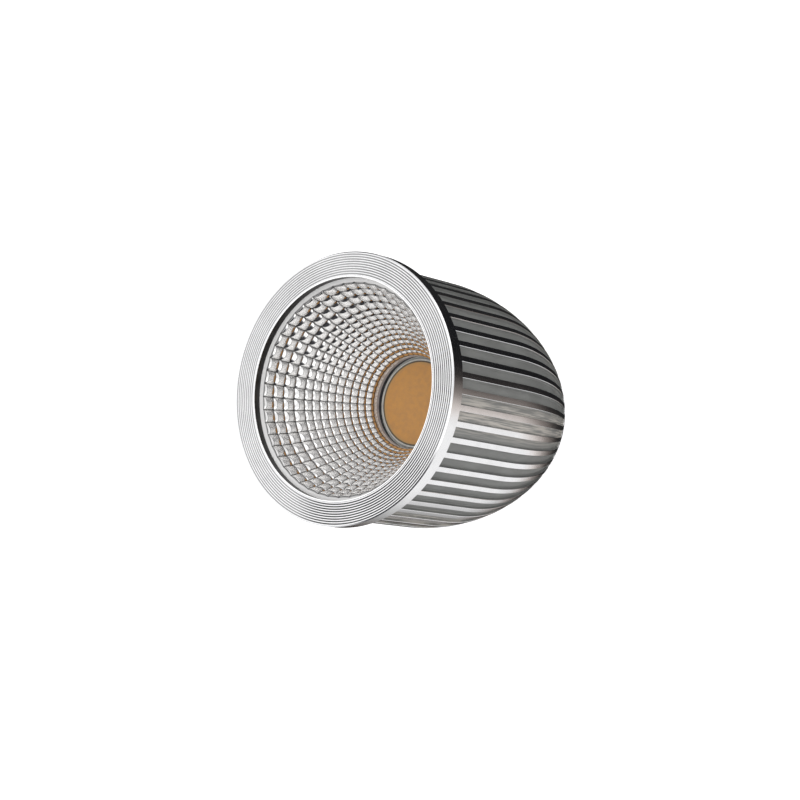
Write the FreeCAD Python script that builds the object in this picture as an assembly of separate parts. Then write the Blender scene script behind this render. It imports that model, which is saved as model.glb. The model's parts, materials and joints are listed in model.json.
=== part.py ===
import FreeCAD, Part
import math
import os

# LED spot module: a turned and fluted aluminium body with a grooved front ring,
# a faceted reflector over a round light source, and its driver in the tail.
# Millimetres. The lamp's axis is Z, the tail stands on z = 0 and the light leaves upwards.

# Front rim
RIM_RADIUS = 25.0
RIM_THICKNESS = 3.0
RIM_EDGE_CHAMFER = 0.2

# Heat sink outside
RIM_OVERHANG = 1.5
STRAIGHT_STRETCH = 21.0
TAIL_EDGE_CHAMFER = 0.5

# Flutes cut along the heat sink
FLUTE_COUNT = 50
FLUTE_SHARE = 0.62
FLUTE_DEPTH = 0.6
FLUTE_END_HEIGHT = 6.5

# Front ring
THREAD_WALL = 0.85
THREAD_CLEARANCE = 0.05
SPIGOT_LENGTH = 5.0
SPIGOT_END_GAP = 0.3
SPIGOT_WALL = 0.75
LIP_OVERLAP = 0.85
LIP_THICKNESS = 1.45
LIP_CHAMFER = 0.15
RING_GROOVE_COUNT = 10
RING_GROOVE_PITCH = 0.444
RING_GROOVE_WIDTH = 0.2
RING_GROOVE_DEPTH = 0.13
RING_OUTER_MARGIN = 0.5

# Reflector
GASKET_THICKNESS = 0.3
REFLECTOR_FIT = 0.1
REFLECTOR_WALL = 1.1
REFLECTOR_FLANGE = 1.2
REFLECTOR_RIM_STEP = 0.7
MOUTH_STEEPER = 13.2
CONE_FLATTER = 2.2
FACET_COLUMNS = 50
FRONT_ROWS = 4
CONE_ROWS = 9
FRONT_ROW_STRETCH = 1.38
FACET_NECK_STEP = 0.2
NECK_LENGTH = 1.55

# Light source, measured down from the front face
SOURCE_DEPTH = 23.6
PHOSPHOR_RADIUS = 8.1
PHOSPHOR_THICKNESS = 0.5
DAM_WIDTH = 0.45
DAM_PROUD = 0.12
DAM_EDGE = 0.1
DAM_TO_REFLECTOR = 0.25
NECK_ABOVE_DAM = 0.45
BOARD_MARGIN = 0.95
BOARD_THICKNESS = 1.5
PAD_THICKNESS = 0.3

# Holder that clamps the light source
HOLDER_LEDGE = 0.2
HOLDER_FIT = 0.15
HOLDER_SCREW_WALL = 1.75
HOLDER_SCREW_MARGIN = 2.2
HOLDER_SCREW_RADIUS = 1.0
HOLDER_SCREW_HEAD_RADIUS = 1.7
HOLDER_SCREW_HEAD_HEIGHT = 1.1
HOLDER_SCREW_BITE = 3.5
HOLDER_SCREW_CLEARANCE = 0.15
HEX_SOCKET_ACROSS = 1.5
HEX_SOCKET_DEPTH = 0.7

# Inside of the heat sink
HOLDER_POCKET_GAP = 0.4
HOLDER_POCKET_HEIGHT = 5.3
BORE_FRONT_STEP = 1.4
WEB_THICKNESS = 5.0
LEAD_RELIEF_MARGIN = 0.7
LEAD_RELIEF_HEIGHT = 4.0

# Tail closure
TAIL_RIM_WALL = 2.0
CAP_LEDGE = 1.5
CAP_RECESS_DEPTH = 1.45
CAP_INSET = 0.15
CAP_FIT = 0.12
SNAP_COUNT = 4
SNAP_ANGLE = 34.0
SNAP_WALL = 0.9
SNAP_HEIGHT = 3.9
SNAP_HOOK = 0.45
SNAP_HOOK_HEIGHT = 1.0
SNAP_LEAD_IN = 0.3
SNAP_GROOVE_PLAY = 0.15

# Cable inlet
INLET_RADIUS = 2.0
GROMMET_NECK_RADIUS = 3.1
GROMMET_LIP_RADIUS = 4.4
GROMMET_OUTER_LIP = 0.65
GROMMET_INNER_LIP = 1.0
GROMMET_FIT = 0.05
GROMMET_LEAD_IN = 0.3

# Driver tube and board
TUBE_FIT = 0.1
TUBE_ROOM = 0.13
TUBE_WALL = 0.8
TUBE_END_GAP = 0.5
RAIL_DEPTH = 0.8
RAIL_WIDTH = 0.9
INSULATOR_THICKNESS = 0.4
DRIVER_BOARD_HEIGHT = 11.65
DRIVER_BOARD_THICKNESS = 1.0
DRIVER_BOARD_OFFSET = 1.5
DRIVER_BOARD_FIT = 0.1
RAIL_STOP = 0.8

# Parts on the driver board, with x measured from the board's middle
PARTING_X = 0.3
CAPACITOR_RADIUS = 4.0
CAPACITOR_LENGTH = 10.0
CAPACITOR_GROOVE = 0.35
CAPACITOR_CRIMP_HEIGHT = 1.05
CHOKE_FLANGE_RADIUS = 3.4
CHOKE_TO_CAPACITOR = 1.1
CHOKE_CORE_RADIUS = 1.5
CHOKE_WINDING_RADIUS = 2.9
CHOKE_FLANGE_THICKNESS = 1.0
CHOKE_HEIGHT = 7.0
FILM_CAPACITOR_SIZE = (6.0, 4.0, 3.4)
FILM_CAPACITOR_X = 4.4
RECTIFIER_SIZE = (4.6, 2.4, 3.8)
RECTIFIER_X = -3.7
CHIP_SIZE = (5.0, 1.5, 3.9)
CHIP_X = 3.4
TERMINAL_SIZE = (6.0, 3.4, 4.0)
TERMINAL_X = 3.4
TERMINAL_ENTRY_RADIUS = 0.9
TERMINAL_ENTRY_DEPTH = 2.0
FUSE_RADIUS = 1.2
FUSE_LENGTH = 6.0
FUSE_CAP_LENGTH = 1.2
FUSE_X = -3.6
SHUNT_SIZE = (1.6, 0.6, 1.6)
SHUNT_COUNT = 3
SHUNT_PITCH = 2.6
PART_GAP = 0.6
PART_EDGE = 0.15

# Leads from the holder to the driver board
LEAD_RADIUS = 0.5
LEAD_CLEARANCE = 0.15
LEAD_SPACING = 1.15
LEAD_HOLE_RADIUS = 1.9
LEAD_HOLE_MARGIN = 0.2
LEAD_IN_HOLDER = 0.6
LEAD_BEND_RADIUS = 1.6
SLEEVE_WALL = 0.55
SLEEVE_FIT = 0.05

AXIS = FreeCAD.Vector(0, 0, 1)
ORIGIN = FreeCAD.Vector(0, 0, 0)

# Heights of the main planes, added up from the tail: closure, driver, web, light source, reflector
cap_inner_z = CAP_RECESS_DEPTH
tube_bottom_z = cap_inner_z + SNAP_HEIGHT + TUBE_END_GAP
driver_low_z = tube_bottom_z + RAIL_STOP
driver_high_z = driver_low_z + DRIVER_BOARD_HEIGHT
tube_top_z = driver_high_z + RAIL_STOP
web_bottom_z = tube_top_z + LEAD_RELIEF_HEIGHT
insulator_z = web_bottom_z - INSULATOR_THICKNESS
seat_z = web_bottom_z + WEB_THICKNESS
board_bottom_z = seat_z + PAD_THICKNESS
board_top_z = board_bottom_z + BOARD_THICKNESS
phosphor_top_z = board_top_z + PHOSPHOR_THICKNESS
holder_top_z = phosphor_top_z + DAM_PROUD + NECK_ABOVE_DAM
facets_end_z = holder_top_z + NECK_LENGTH
face_z = phosphor_top_z + SOURCE_DEPTH
lip_back_z = face_z - LIP_THICKNESS
reflector_top_z = lip_back_z - GASKET_THICKNESS
rim_back_z = face_z - RIM_THICKNESS
spigot_end_z = rim_back_z - SPIGOT_LENGTH
straight_end_z = rim_back_z - STRAIGHT_STRETCH

# Radii of the front, from the outside inwards
body_radius = RIM_RADIUS - RIM_OVERHANG
flute_floor_radius = body_radius - FLUTE_DEPTH
thread_radius = flute_floor_radius - THREAD_WALL
spigot_radius = thread_radius - THREAD_CLEARANCE
spigot_bore = spigot_radius - SPIGOT_WALL
mouth_radius = spigot_bore - LIP_OVERLAP
reflector_flange_radius = spigot_bore - REFLECTOR_FIT
facet_front_radius = mouth_radius - REFLECTOR_RIM_STEP

# Radii of the light source, from the inside outwards
dam_radius = PHOSPHOR_RADIUS + DAM_WIDTH
neck_radius = dam_radius + DAM_TO_REFLECTOR
facet_end_radius = neck_radius + FACET_NECK_STEP
board_half = dam_radius + BOARD_MARGIN
holder_opening = neck_radius + HOLDER_LEDGE
holder_screw_circle = board_half + HOLDER_FIT + HOLDER_SCREW_WALL + HOLDER_SCREW_RADIUS
holder_radius = holder_screw_circle + HOLDER_SCREW_MARGIN
pocket_radius = holder_radius + HOLDER_POCKET_GAP
lead_y = board_half + LEAD_HOLE_MARGIN + LEAD_HOLE_RADIUS
lead_relief_radius = lead_y + LEAD_HOLE_RADIUS + LEAD_RELIEF_MARGIN

# Places of the round parts on the driver board, and the radii that they need around them
driver_front_y = -DRIVER_BOARD_OFFSET + DRIVER_BOARD_THICKNESS / 2
driver_back_y = -DRIVER_BOARD_OFFSET - DRIVER_BOARD_THICKNESS / 2
capacitor_at = FreeCAD.Vector(PARTING_X - CAPACITOR_RADIUS, driver_front_y + CAPACITOR_RADIUS, 0)
choke_x = PARTING_X + CHOKE_TO_CAPACITOR + CHOKE_FLANGE_RADIUS
choke_at = FreeCAD.Vector(choke_x, driver_front_y + CHOKE_FLANGE_RADIUS, 0)
tube_bore = TUBE_ROOM + max(capacitor_at.Length + CAPACITOR_RADIUS, choke_at.Length + CHOKE_FLANGE_RADIUS)
tube_radius = tube_bore + TUBE_WALL
driver_bore_radius = tube_radius + TUBE_FIT
snap_radius = driver_bore_radius - CAP_FIT
hook_radius = driver_bore_radius + SNAP_HOOK
recess_radius = driver_bore_radius + CAP_LEDGE
cap_radius = recess_radius - CAP_FIT
tail_radius = recess_radius + TAIL_RIM_WALL
driver_half = math.sqrt(tube_bore ** 2 - driver_back_y ** 2) - DRIVER_BOARD_FIT

# The tapering back is one arc, tangent to the straight wall above and ending at the tail's radius
taper = body_radius - tail_radius
dome_radius = (taper ** 2 + straight_end_z ** 2) / (2 * taper)
dome_centre_r = body_radius - dome_radius


def point(r, z):
    """A point of a turned section, at radius r and height z."""
    return FreeCAD.Vector(r, 0, z)


def disc(radius, bottom_z, top_z, x=0.0, y=0.0):
    """A plain upright cylinder between two heights."""
    return Part.makeCylinder(radius, top_z - bottom_z, FreeCAD.Vector(x, y, bottom_z))


def tube(outer, inner, bottom_z, top_z):
    """A plain upright tube between two heights."""
    return disc(outer, bottom_z, top_z).cut(disc(inner, bottom_z, top_z))


def block(x0, x1, y0, y1, z0, z1):
    """A box given by its limits along each axis."""
    return Part.makeBox(x1 - x0, y1 - y0, z1 - z0, FreeCAD.Vector(x0, y0, z0))


def turned(edges):
    """The solid turned from a closed section of edges in the XZ plane."""
    section = Part.Face(Part.Wire(edges))
    return section.revolve(ORIGIN, AXIS, 360)


def turned_corners(corners):
    """The solid turned from a section with straight sides, given as (radius, height) corners."""
    points = [point(r, z) for r, z in corners]
    return turned(Part.makePolygon(points + points[:1]).Edges)


def softened(shape, radius):
    """The same part with all its edges slightly rounded, as moulded parts have."""
    return shape.makeFillet(radius, shape.Edges)


def around(shape, count, start=0.0):
    """Copies of a shape at equal steps about the lamp's axis."""
    copies = []
    for i in range(count):
        copy = shape.copy()
        copy.rotate(ORIGIN, AXIS, start + i * 360.0 / count)
        copies.append(copy)
    return copies


def save(name, shape):
    """Write one piece to its own file and say what it is."""
    shape.exportStep("parts/" + name + ".step")
    print(name, len(shape.Solids), "solids", len(shape.Faces), "faces", round(shape.Volume, 1), "mm3")


# Outside of the heat sink

def dome_point(angle, inset=0.0):
    """A point of the tapering back, at an angle in degrees below the end of the straight stretch."""
    turn = math.radians(angle)
    radius = dome_radius - inset
    return point(dome_centre_r + radius * math.cos(turn), straight_end_z - radius * math.sin(turn))


def dome_angle(height):
    """The angle at which the tapering back reaches a height."""
    return math.degrees(math.asin((straight_end_z - height) / dome_radius))


def flute_cutter():
    """The tool path of one flute: a wedge with a flat end wall, rounded off by an end mill."""
    end_angle = dome_angle(FLUTE_END_HEIGHT)
    clear = 2.0
    above = rim_back_z + clear
    angles = (0, end_angle / 2, end_angle)
    inner = [dome_point(angle, FLUTE_DEPTH) for angle in angles]
    outer = [dome_point(angle, -clear) for angle in angles]
    edges = [
        Part.LineSegment(point(flute_floor_radius, above), inner[0]).toShape(),
        Part.Arc(*inner).toShape(),
        Part.LineSegment(inner[2], outer[2]).toShape(),
        Part.Arc(*reversed(outer)).toShape(),
        Part.LineSegment(outer[0], point(body_radius + clear, above)).toShape(),
        Part.LineSegment(point(body_radius + clear, above), point(flute_floor_radius, above)).toShape(),
    ]
    width_angle = FLUTE_SHARE * 360.0 / FLUTE_COUNT
    wedge = Part.Face(Part.Wire(edges)).revolve(ORIGIN, AXIS, width_angle)
    wedge.rotate(ORIGIN, AXIS, -width_angle / 2)
    outward = outer[2] - inner[2]
    mill_radius = inner[2].x * math.sin(math.radians(width_angle / 2))
    mill = Part.makeCylinder(mill_radius, outward.Length, inner[2], outward)
    return wedge.fuse(mill)


def heat_sink():
    tail_angle = dome_angle(TAIL_EDGE_CHAMFER)
    tail_corner = dome_point(tail_angle)
    outside = turned([
        Part.LineSegment(point(0, 0), point(tail_radius - TAIL_EDGE_CHAMFER, 0)).toShape(),
        Part.LineSegment(point(tail_radius - TAIL_EDGE_CHAMFER, 0), tail_corner).toShape(),
        Part.Arc(tail_corner, dome_point(tail_angle / 2), dome_point(0)).toShape(),
        Part.LineSegment(dome_point(0), point(body_radius, rim_back_z)).toShape(),
        Part.LineSegment(point(body_radius, rim_back_z), point(0, rim_back_z)).toShape(),
        Part.LineSegment(point(0, rim_back_z), point(0, 0)).toShape(),
    ])
    thread_end_z = spigot_end_z - SPIGOT_END_GAP
    front_bore = turned_corners([
        (0, seat_z),
        (pocket_radius, seat_z),
        (pocket_radius, seat_z + HOLDER_POCKET_HEIGHT),
        (thread_radius - BORE_FRONT_STEP, thread_end_z),
        (thread_radius, thread_end_z),
        (thread_radius, rim_back_z),
        (0, rim_back_z),
    ])
    groove_bottom = cap_inner_z + SNAP_HEIGHT - SNAP_HOOK_HEIGHT - SNAP_GROOVE_PLAY
    groove_top = cap_inner_z + SNAP_HEIGHT + SNAP_GROOVE_PLAY
    rear_bore = turned_corners([
        (0, 0),
        (recess_radius, 0),
        (recess_radius, cap_inner_z),
        (driver_bore_radius, cap_inner_z),
        (driver_bore_radius, groove_bottom),
        (hook_radius + CAP_FIT, groove_bottom),
        (hook_radius + CAP_FIT, groove_top),
        (driver_bore_radius, groove_top),
        (driver_bore_radius, tube_top_z),
        (lead_relief_radius, tube_top_z),
        (lead_relief_radius, web_bottom_z),
        (0, web_bottom_z),
    ])
    lead_hole = disc(LEAD_HOLE_RADIUS, web_bottom_z, seat_z, 0, lead_y)
    tapped = disc(HOLDER_SCREW_RADIUS, seat_z - HOLDER_SCREW_BITE, seat_z, holder_screw_circle, 0)
    cutters = [front_bore, rear_bore, lead_hole] + around(tapped, 2)
    return outside.cut(cutters).cut(around(flute_cutter(), FLUTE_COUNT))


# Front ring with its fine concentric grooves

def ring_groove_corners():
    """The corners of the V grooves across the front face, from the outside inwards."""
    corners = []
    for i in range(RING_GROOVE_COUNT):
        centre = RIM_RADIUS - RING_OUTER_MARGIN - i * RING_GROOVE_PITCH
        corners.append((centre + RING_GROOVE_WIDTH / 2, face_z))
        corners.append((centre, face_z - RING_GROOVE_DEPTH))
        corners.append((centre - RING_GROOVE_WIDTH / 2, face_z))
    return corners


def front_ring():
    corners = [
        (spigot_bore, spigot_end_z),
        (spigot_radius, spigot_end_z),
        (spigot_radius, rim_back_z),
        (RIM_RADIUS - RIM_EDGE_CHAMFER, rim_back_z),
        (RIM_RADIUS, rim_back_z + RIM_EDGE_CHAMFER),
        (RIM_RADIUS, face_z - RIM_EDGE_CHAMFER),
        (RIM_RADIUS - RIM_EDGE_CHAMFER, face_z),
    ]
    corners += ring_groove_corners()
    corners += [
        (mouth_radius + LIP_CHAMFER, face_z),
        (mouth_radius, face_z - LIP_CHAMFER),
        (mouth_radius, lip_back_z),
        (spigot_bore, lip_back_z),
    ]
    return turned_corners(corners)


# Reflector, a moulded cup with rows of facets inside

def reflector_curve():
    """Steep arc at the mouth running into a straight cone: its angles, arc radius and lengths."""
    fall = reflector_top_z - facets_end_z
    narrowing = facet_front_radius - facet_end_radius
    chord = math.degrees(math.atan2(narrowing, fall))
    mouth = math.radians(chord - MOUTH_STEEPER)
    cone = math.radians(chord + CONE_FLATTER)
    arc_fall = math.sin(cone) - math.sin(mouth)
    arc_in = math.cos(mouth) - math.cos(cone)
    area = arc_fall * math.sin(cone) - arc_in * math.cos(cone)
    radius = (fall * math.sin(cone) - narrowing * math.cos(cone)) / area
    straight = (arc_fall * narrowing - arc_in * fall) / area
    return mouth, cone, radius, straight


def reflector_point(along, offset=0.0):
    """Radius and height on the reflector's inner curve, or that far outside it."""
    mouth, cone, radius, straight = reflector_curve()
    arc_length = radius * (cone - mouth)
    centre_r = facet_front_radius - radius * math.cos(mouth)
    centre_z = reflector_top_z + radius * math.sin(mouth)
    turn = mouth + min(along, arc_length) / radius
    r = centre_r + (radius + offset) * math.cos(turn)
    z = centre_z - (radius + offset) * math.sin(turn)
    past = max(0.0, along - arc_length)
    return r - past * math.sin(cone), z - past * math.cos(cone)


def reflector_outside():
    mouth, cone, radius, straight = reflector_curve()
    arc_length = radius * (cone - mouth)
    flange_back_z = reflector_top_z - REFLECTOR_FLANGE
    start = REFLECTOR_FLANGE / math.cos(mouth)
    wall_start = point(*reflector_point(start, REFLECTOR_WALL))
    wall_middle = point(*reflector_point((start + arc_length) / 2, REFLECTOR_WALL))
    wall_cone = point(*reflector_point(arc_length, REFLECTOR_WALL))
    wall_end = point(*reflector_point(arc_length + straight, REFLECTOR_WALL))
    neck_outside = neck_radius + REFLECTOR_WALL
    corners = [
        point(0, holder_top_z),
        point(neck_outside, holder_top_z),
        point(neck_outside, wall_end.z - REFLECTOR_WALL / 2),
        wall_end,
        wall_cone,
    ]
    edges = [Part.LineSegment(a, b).toShape() for a, b in zip(corners, corners[1:])]
    edges.append(Part.Arc(wall_cone, wall_middle, wall_start).toShape())
    corners = [
        wall_start,
        point(wall_start.x, flange_back_z),
        point(reflector_flange_radius, flange_back_z),
        point(reflector_flange_radius, reflector_top_z),
        point(0, reflector_top_z),
        point(0, holder_top_z),
    ]
    if abs(wall_start.z - flange_back_z) < 1e-6:
        corners.pop(1)
    edges += [Part.LineSegment(a, b).toShape() for a, b in zip(corners, corners[1:])]
    return turned(edges)


def facet_levels():
    """Radius and height of every ring of facet corners, from above the mouth to below the neck."""
    mouth, cone, radius, straight = reflector_curve()
    total = radius * (cone - mouth) + straight
    step = total / (FRONT_ROWS * FRONT_ROW_STRETCH + CONE_ROWS)
    along = [i * step * FRONT_ROW_STRETCH for i in range(FRONT_ROWS + 1)]
    along += [along[-1] + (i + 1) * step for i in range(CONE_ROWS)]
    overshoot = 0.5
    above = (facet_front_radius + overshoot * math.tan(mouth), reflector_top_z + overshoot)
    below = (neck_radius, holder_top_z - overshoot)
    return [above] + [reflector_point(a) for a in along] + [(neck_radius, holder_top_z), below]


def facet_core():
    """The many-sided plug that the inside of the cup is moulded around."""
    turns = [2 * math.pi * i / FACET_COLUMNS for i in range(FACET_COLUMNS)]
    rings = []
    for r, z in facet_levels():
        rings.append([FreeCAD.Vector(r * math.cos(turn), r * math.sin(turn), z) for turn in turns])
    faces = [Part.Face(Part.makePolygon(ring + ring[:1])) for ring in (rings[0], rings[-1])]
    for upper, lower in zip(rings, rings[1:]):
        for i in range(FACET_COLUMNS):
            j = (i + 1) % FACET_COLUMNS
            faces.append(Part.Face(Part.makePolygon([upper[i], upper[j], lower[j], lower[i], upper[i]])))
    core = Part.makeSolid(Part.makeShell(faces))
    if core.Volume < 0:
        core.reverse()
    return core


def reflector():
    return reflector_outside().cut(facet_core())


def reflector_gasket():
    return tube(reflector_flange_radius, mouth_radius + LIP_CHAMFER, reflector_top_z, lip_back_z)


# Light source and its holder

def led_board():
    return block(-board_half, board_half, -board_half, board_half, board_bottom_z, board_top_z)


def led_phosphor():
    return disc(PHOSPHOR_RADIUS, board_top_z, phosphor_top_z)


def led_dam():
    ring = tube(dam_radius, PHOSPHOR_RADIUS, board_top_z, phosphor_top_z + DAM_PROUD)
    crown = [e for e in ring.Edges if e.BoundBox.ZMin > phosphor_top_z + DAM_PROUD / 2]
    return ring.makeFillet(DAM_EDGE, crown)


def thermal_pad():
    return block(-board_half, board_half, -board_half, board_half, seat_z, board_bottom_z)


def led_holder():
    """A round moulding with a square pocket below, a window above and two screw holes."""
    half = board_half + HOLDER_FIT
    body = disc(holder_radius, seat_z, holder_top_z)
    cutters = [
        block(-half, half, -half, half, seat_z, board_top_z),
        disc(holder_opening, board_top_z, holder_top_z),
        disc(LEAD_RADIUS + LEAD_CLEARANCE, seat_z, board_top_z + LEAD_IN_HOLDER, -LEAD_SPACING / 2, lead_y),
        disc(LEAD_RADIUS + LEAD_CLEARANCE, seat_z, board_top_z + LEAD_IN_HOLDER, LEAD_SPACING / 2, lead_y),
    ]
    hole = disc(HOLDER_SCREW_RADIUS + HOLDER_SCREW_CLEARANCE, seat_z, holder_top_z, holder_screw_circle, 0)
    return body.cut(cutters + around(hole, 2))


def holder_screws():
    """Two cap screws with a hexagon socket, as one group."""
    head_top = holder_top_z + HOLDER_SCREW_HEAD_HEIGHT
    shank = disc(HOLDER_SCREW_RADIUS, seat_z - HOLDER_SCREW_BITE, holder_top_z, holder_screw_circle)
    head = disc(HOLDER_SCREW_HEAD_RADIUS, holder_top_z, head_top, holder_screw_circle)
    corners = []
    for i in range(7):
        turn = math.radians(60 * i)
        reach = HEX_SOCKET_ACROSS / math.sqrt(3)
        x = holder_screw_circle + reach * math.cos(turn)
        corners.append(FreeCAD.Vector(x, reach * math.sin(turn), head_top - HEX_SOCKET_DEPTH))
    socket = Part.Face(Part.makePolygon(corners)).extrude(FreeCAD.Vector(0, 0, HEX_SOCKET_DEPTH))
    return Part.makeCompound(around(shank.fuse(head).cut(socket), 2))


# Leads through the web

def lead(side):
    """One lead: down through the web, inwards over the driver tube and down to the board's edge."""
    x = side * LEAD_SPACING / 2
    low_z = (tube_top_z + web_bottom_z) / 2
    bend = LEAD_BEND_RADIUS
    cut = bend * (1 - math.sqrt(0.5))
    top = FreeCAD.Vector(x, lead_y, board_top_z + LEAD_IN_HOLDER)
    upper_start = FreeCAD.Vector(x, lead_y, low_z + bend)
    upper_middle = FreeCAD.Vector(x, lead_y - cut, low_z + cut)
    upper_end = FreeCAD.Vector(x, lead_y - bend, low_z)
    lower_start = FreeCAD.Vector(x, bend - DRIVER_BOARD_OFFSET, low_z)
    lower_middle = FreeCAD.Vector(x, cut - DRIVER_BOARD_OFFSET, low_z - cut)
    lower_end = FreeCAD.Vector(x, -DRIVER_BOARD_OFFSET, low_z - bend)
    foot = FreeCAD.Vector(x, -DRIVER_BOARD_OFFSET, driver_high_z)
    path = Part.Wire([
        Part.LineSegment(top, upper_start).toShape(),
        Part.Arc(upper_start, upper_middle, upper_end).toShape(),
        Part.LineSegment(upper_end, lower_start).toShape(),
        Part.Arc(lower_start, lower_middle, lower_end).toShape(),
        Part.LineSegment(lower_end, foot).toShape(),
    ])
    ring = Part.Wire(Part.makeCircle(LEAD_RADIUS, top, AXIS).Edges)
    return path.makePipeShell([ring], True, False)


def lead_sleeve():
    outer = LEAD_HOLE_RADIUS - SLEEVE_FIT
    sleeve = disc(outer, web_bottom_z, seat_z, 0, lead_y)
    return sleeve.cut(disc(outer - SLEEVE_WALL, web_bottom_z, seat_z, 0, lead_y))


# Tail closure

def rear_cap():
    """A moulded disc with snap legs that hook into the groove of the driver bore."""
    plate = disc(cap_radius, CAP_INSET, cap_inner_z)
    rim = [e for e in plate.Edges if e.BoundBox.ZMax < cap_inner_z and e.BoundBox.ZLength < CAP_INSET]
    plate = plate.makeChamfer(CAP_INSET, rim)
    hook_top = cap_inner_z + SNAP_HEIGHT
    hook_low = hook_top - SNAP_HOOK_HEIGHT
    corners = [
        (snap_radius - SNAP_WALL, cap_inner_z - CAP_INSET),
        (snap_radius, cap_inner_z - CAP_INSET),
        (snap_radius, hook_low),
        (hook_radius, hook_low),
        (snap_radius - SNAP_LEAD_IN, hook_top),
        (snap_radius - SNAP_WALL, hook_top),
    ]
    points = [point(r, z) for r, z in corners]
    leg = Part.Face(Part.makePolygon(points + points[:1])).revolve(ORIGIN, AXIS, SNAP_ANGLE)
    lip_recess = disc(GROMMET_LIP_RADIUS + GROMMET_FIT, CAP_INSET, CAP_INSET + GROMMET_OUTER_LIP)
    hole = disc(GROMMET_NECK_RADIUS + GROMMET_FIT, CAP_INSET, cap_inner_z)
    return plate.fuse(around(leg, SNAP_COUNT, -SNAP_ANGLE / 2)).cut([lip_recess, hole])


def cable_grommet():
    """A soft ring buttoned into the cap, with a lip on each side and the cable's bore."""
    return turned_corners([
        (INLET_RADIUS + GROMMET_LEAD_IN, CAP_INSET),
        (GROMMET_LIP_RADIUS, CAP_INSET),
        (GROMMET_LIP_RADIUS, CAP_INSET + GROMMET_OUTER_LIP),
        (GROMMET_NECK_RADIUS, CAP_INSET + GROMMET_OUTER_LIP),
        (GROMMET_NECK_RADIUS, cap_inner_z),
        (GROMMET_LIP_RADIUS, cap_inner_z),
        (GROMMET_NECK_RADIUS, cap_inner_z + GROMMET_INNER_LIP),
        (INLET_RADIUS, cap_inner_z + GROMMET_INNER_LIP),
        (INLET_RADIUS, CAP_INSET + GROMMET_LEAD_IN),
    ])


# Driver tube, board and the parts on it

def driver_tube():
    """An insulating tube with two slotted rails, closed below, that carry the board by its edges."""
    wall = tube(tube_radius, tube_bore, tube_bottom_z, tube_top_z)
    low_y = driver_back_y - DRIVER_BOARD_FIT - RAIL_WIDTH
    high_y = driver_front_y + DRIVER_BOARD_FIT + RAIL_WIDTH
    rails = block(-tube_radius, tube_radius, low_y, high_y, tube_bottom_z, tube_top_z)
    middle = driver_half - RAIL_DEPTH
    open_middle = block(-middle, middle, low_y, high_y, tube_bottom_z, tube_top_z)
    slot_low = driver_back_y - DRIVER_BOARD_FIT
    slot_high = driver_front_y + DRIVER_BOARD_FIT
    reach = driver_half + DRIVER_BOARD_FIT
    slot = block(-reach, reach, slot_low, slot_high, driver_low_z, tube_top_z)
    rails = rails.common(disc(tube_radius, tube_bottom_z, tube_top_z)).cut([open_middle, slot])
    return wall.fuse(rails).removeSplitter()


def driver_board():
    return block(-driver_half, driver_half, driver_back_y, driver_front_y, driver_low_z, driver_high_z)


def on_board(size, x, low_z, side):
    """A soft-edged box of a given width, depth and height on the board's front or back."""
    width, depth, height = size
    face_y = driver_front_y if side > 0 else driver_back_y - depth
    part = block(x - width / 2, x + width / 2, face_y, face_y + depth, low_z, low_z + height)
    return softened(part, PART_EDGE)


def smoothing_capacitor():
    """A round can with its crimped groove, lying upright against the board."""
    low = driver_low_z + PART_GAP
    crimp = low + CAPACITOR_CRIMP_HEIGHT
    can = turned_corners([
        (0, low),
        (CAPACITOR_RADIUS, low),
        (CAPACITOR_RADIUS, crimp),
        (CAPACITOR_RADIUS - CAPACITOR_GROOVE, crimp + CAPACITOR_GROOVE),
        (CAPACITOR_RADIUS, crimp + 2 * CAPACITOR_GROOVE),
        (CAPACITOR_RADIUS, low + CAPACITOR_LENGTH - CAPACITOR_GROOVE),
        (CAPACITOR_RADIUS - CAPACITOR_GROOVE, low + CAPACITOR_LENGTH),
        (0, low + CAPACITOR_LENGTH),
    ])
    can.translate(capacitor_at)
    return can


def choke_core():
    """A ferrite drum: two flanges on a thin core."""
    low = driver_low_z + PART_GAP
    high = low + CHOKE_HEIGHT
    drum = turned_corners([
        (0, low),
        (CHOKE_FLANGE_RADIUS, low),
        (CHOKE_FLANGE_RADIUS, low + CHOKE_FLANGE_THICKNESS),
        (CHOKE_CORE_RADIUS, low + CHOKE_FLANGE_THICKNESS),
        (CHOKE_CORE_RADIUS, high - CHOKE_FLANGE_THICKNESS),
        (CHOKE_FLANGE_RADIUS, high - CHOKE_FLANGE_THICKNESS),
        (CHOKE_FLANGE_RADIUS, high),
        (0, high),
    ])
    drum.translate(choke_at)
    return drum


def choke_winding():
    low = driver_low_z + PART_GAP + CHOKE_FLANGE_THICKNESS
    high = low + CHOKE_HEIGHT - 2 * CHOKE_FLANGE_THICKNESS
    coil = tube(CHOKE_WINDING_RADIUS, CHOKE_CORE_RADIUS, low, high)
    coil.translate(choke_at)
    return coil


def film_capacitor():
    low = driver_low_z + CHOKE_HEIGHT + 2 * PART_GAP
    return on_board(FILM_CAPACITOR_SIZE, FILM_CAPACITOR_X, low, 1)


def inlet_terminal():
    """A push-in terminal with two wire entries that look down at the cable inlet."""
    width, depth, height = TERMINAL_SIZE
    body = on_board(TERMINAL_SIZE, TERMINAL_X, driver_low_z, -1)
    entry = disc(TERMINAL_ENTRY_RADIUS, driver_low_z, driver_low_z + TERMINAL_ENTRY_DEPTH)
    entries = []
    for side in (-1, 1):
        hole = entry.copy()
        hole.translate(FreeCAD.Vector(TERMINAL_X + side * width / 4, driver_back_y - depth / 2, 0))
        entries.append(hole)
    return body.cut(entries)


def driver_chip():
    return on_board(CHIP_SIZE, CHIP_X, driver_low_z + TERMINAL_SIZE[2] + PART_GAP, -1)


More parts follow.
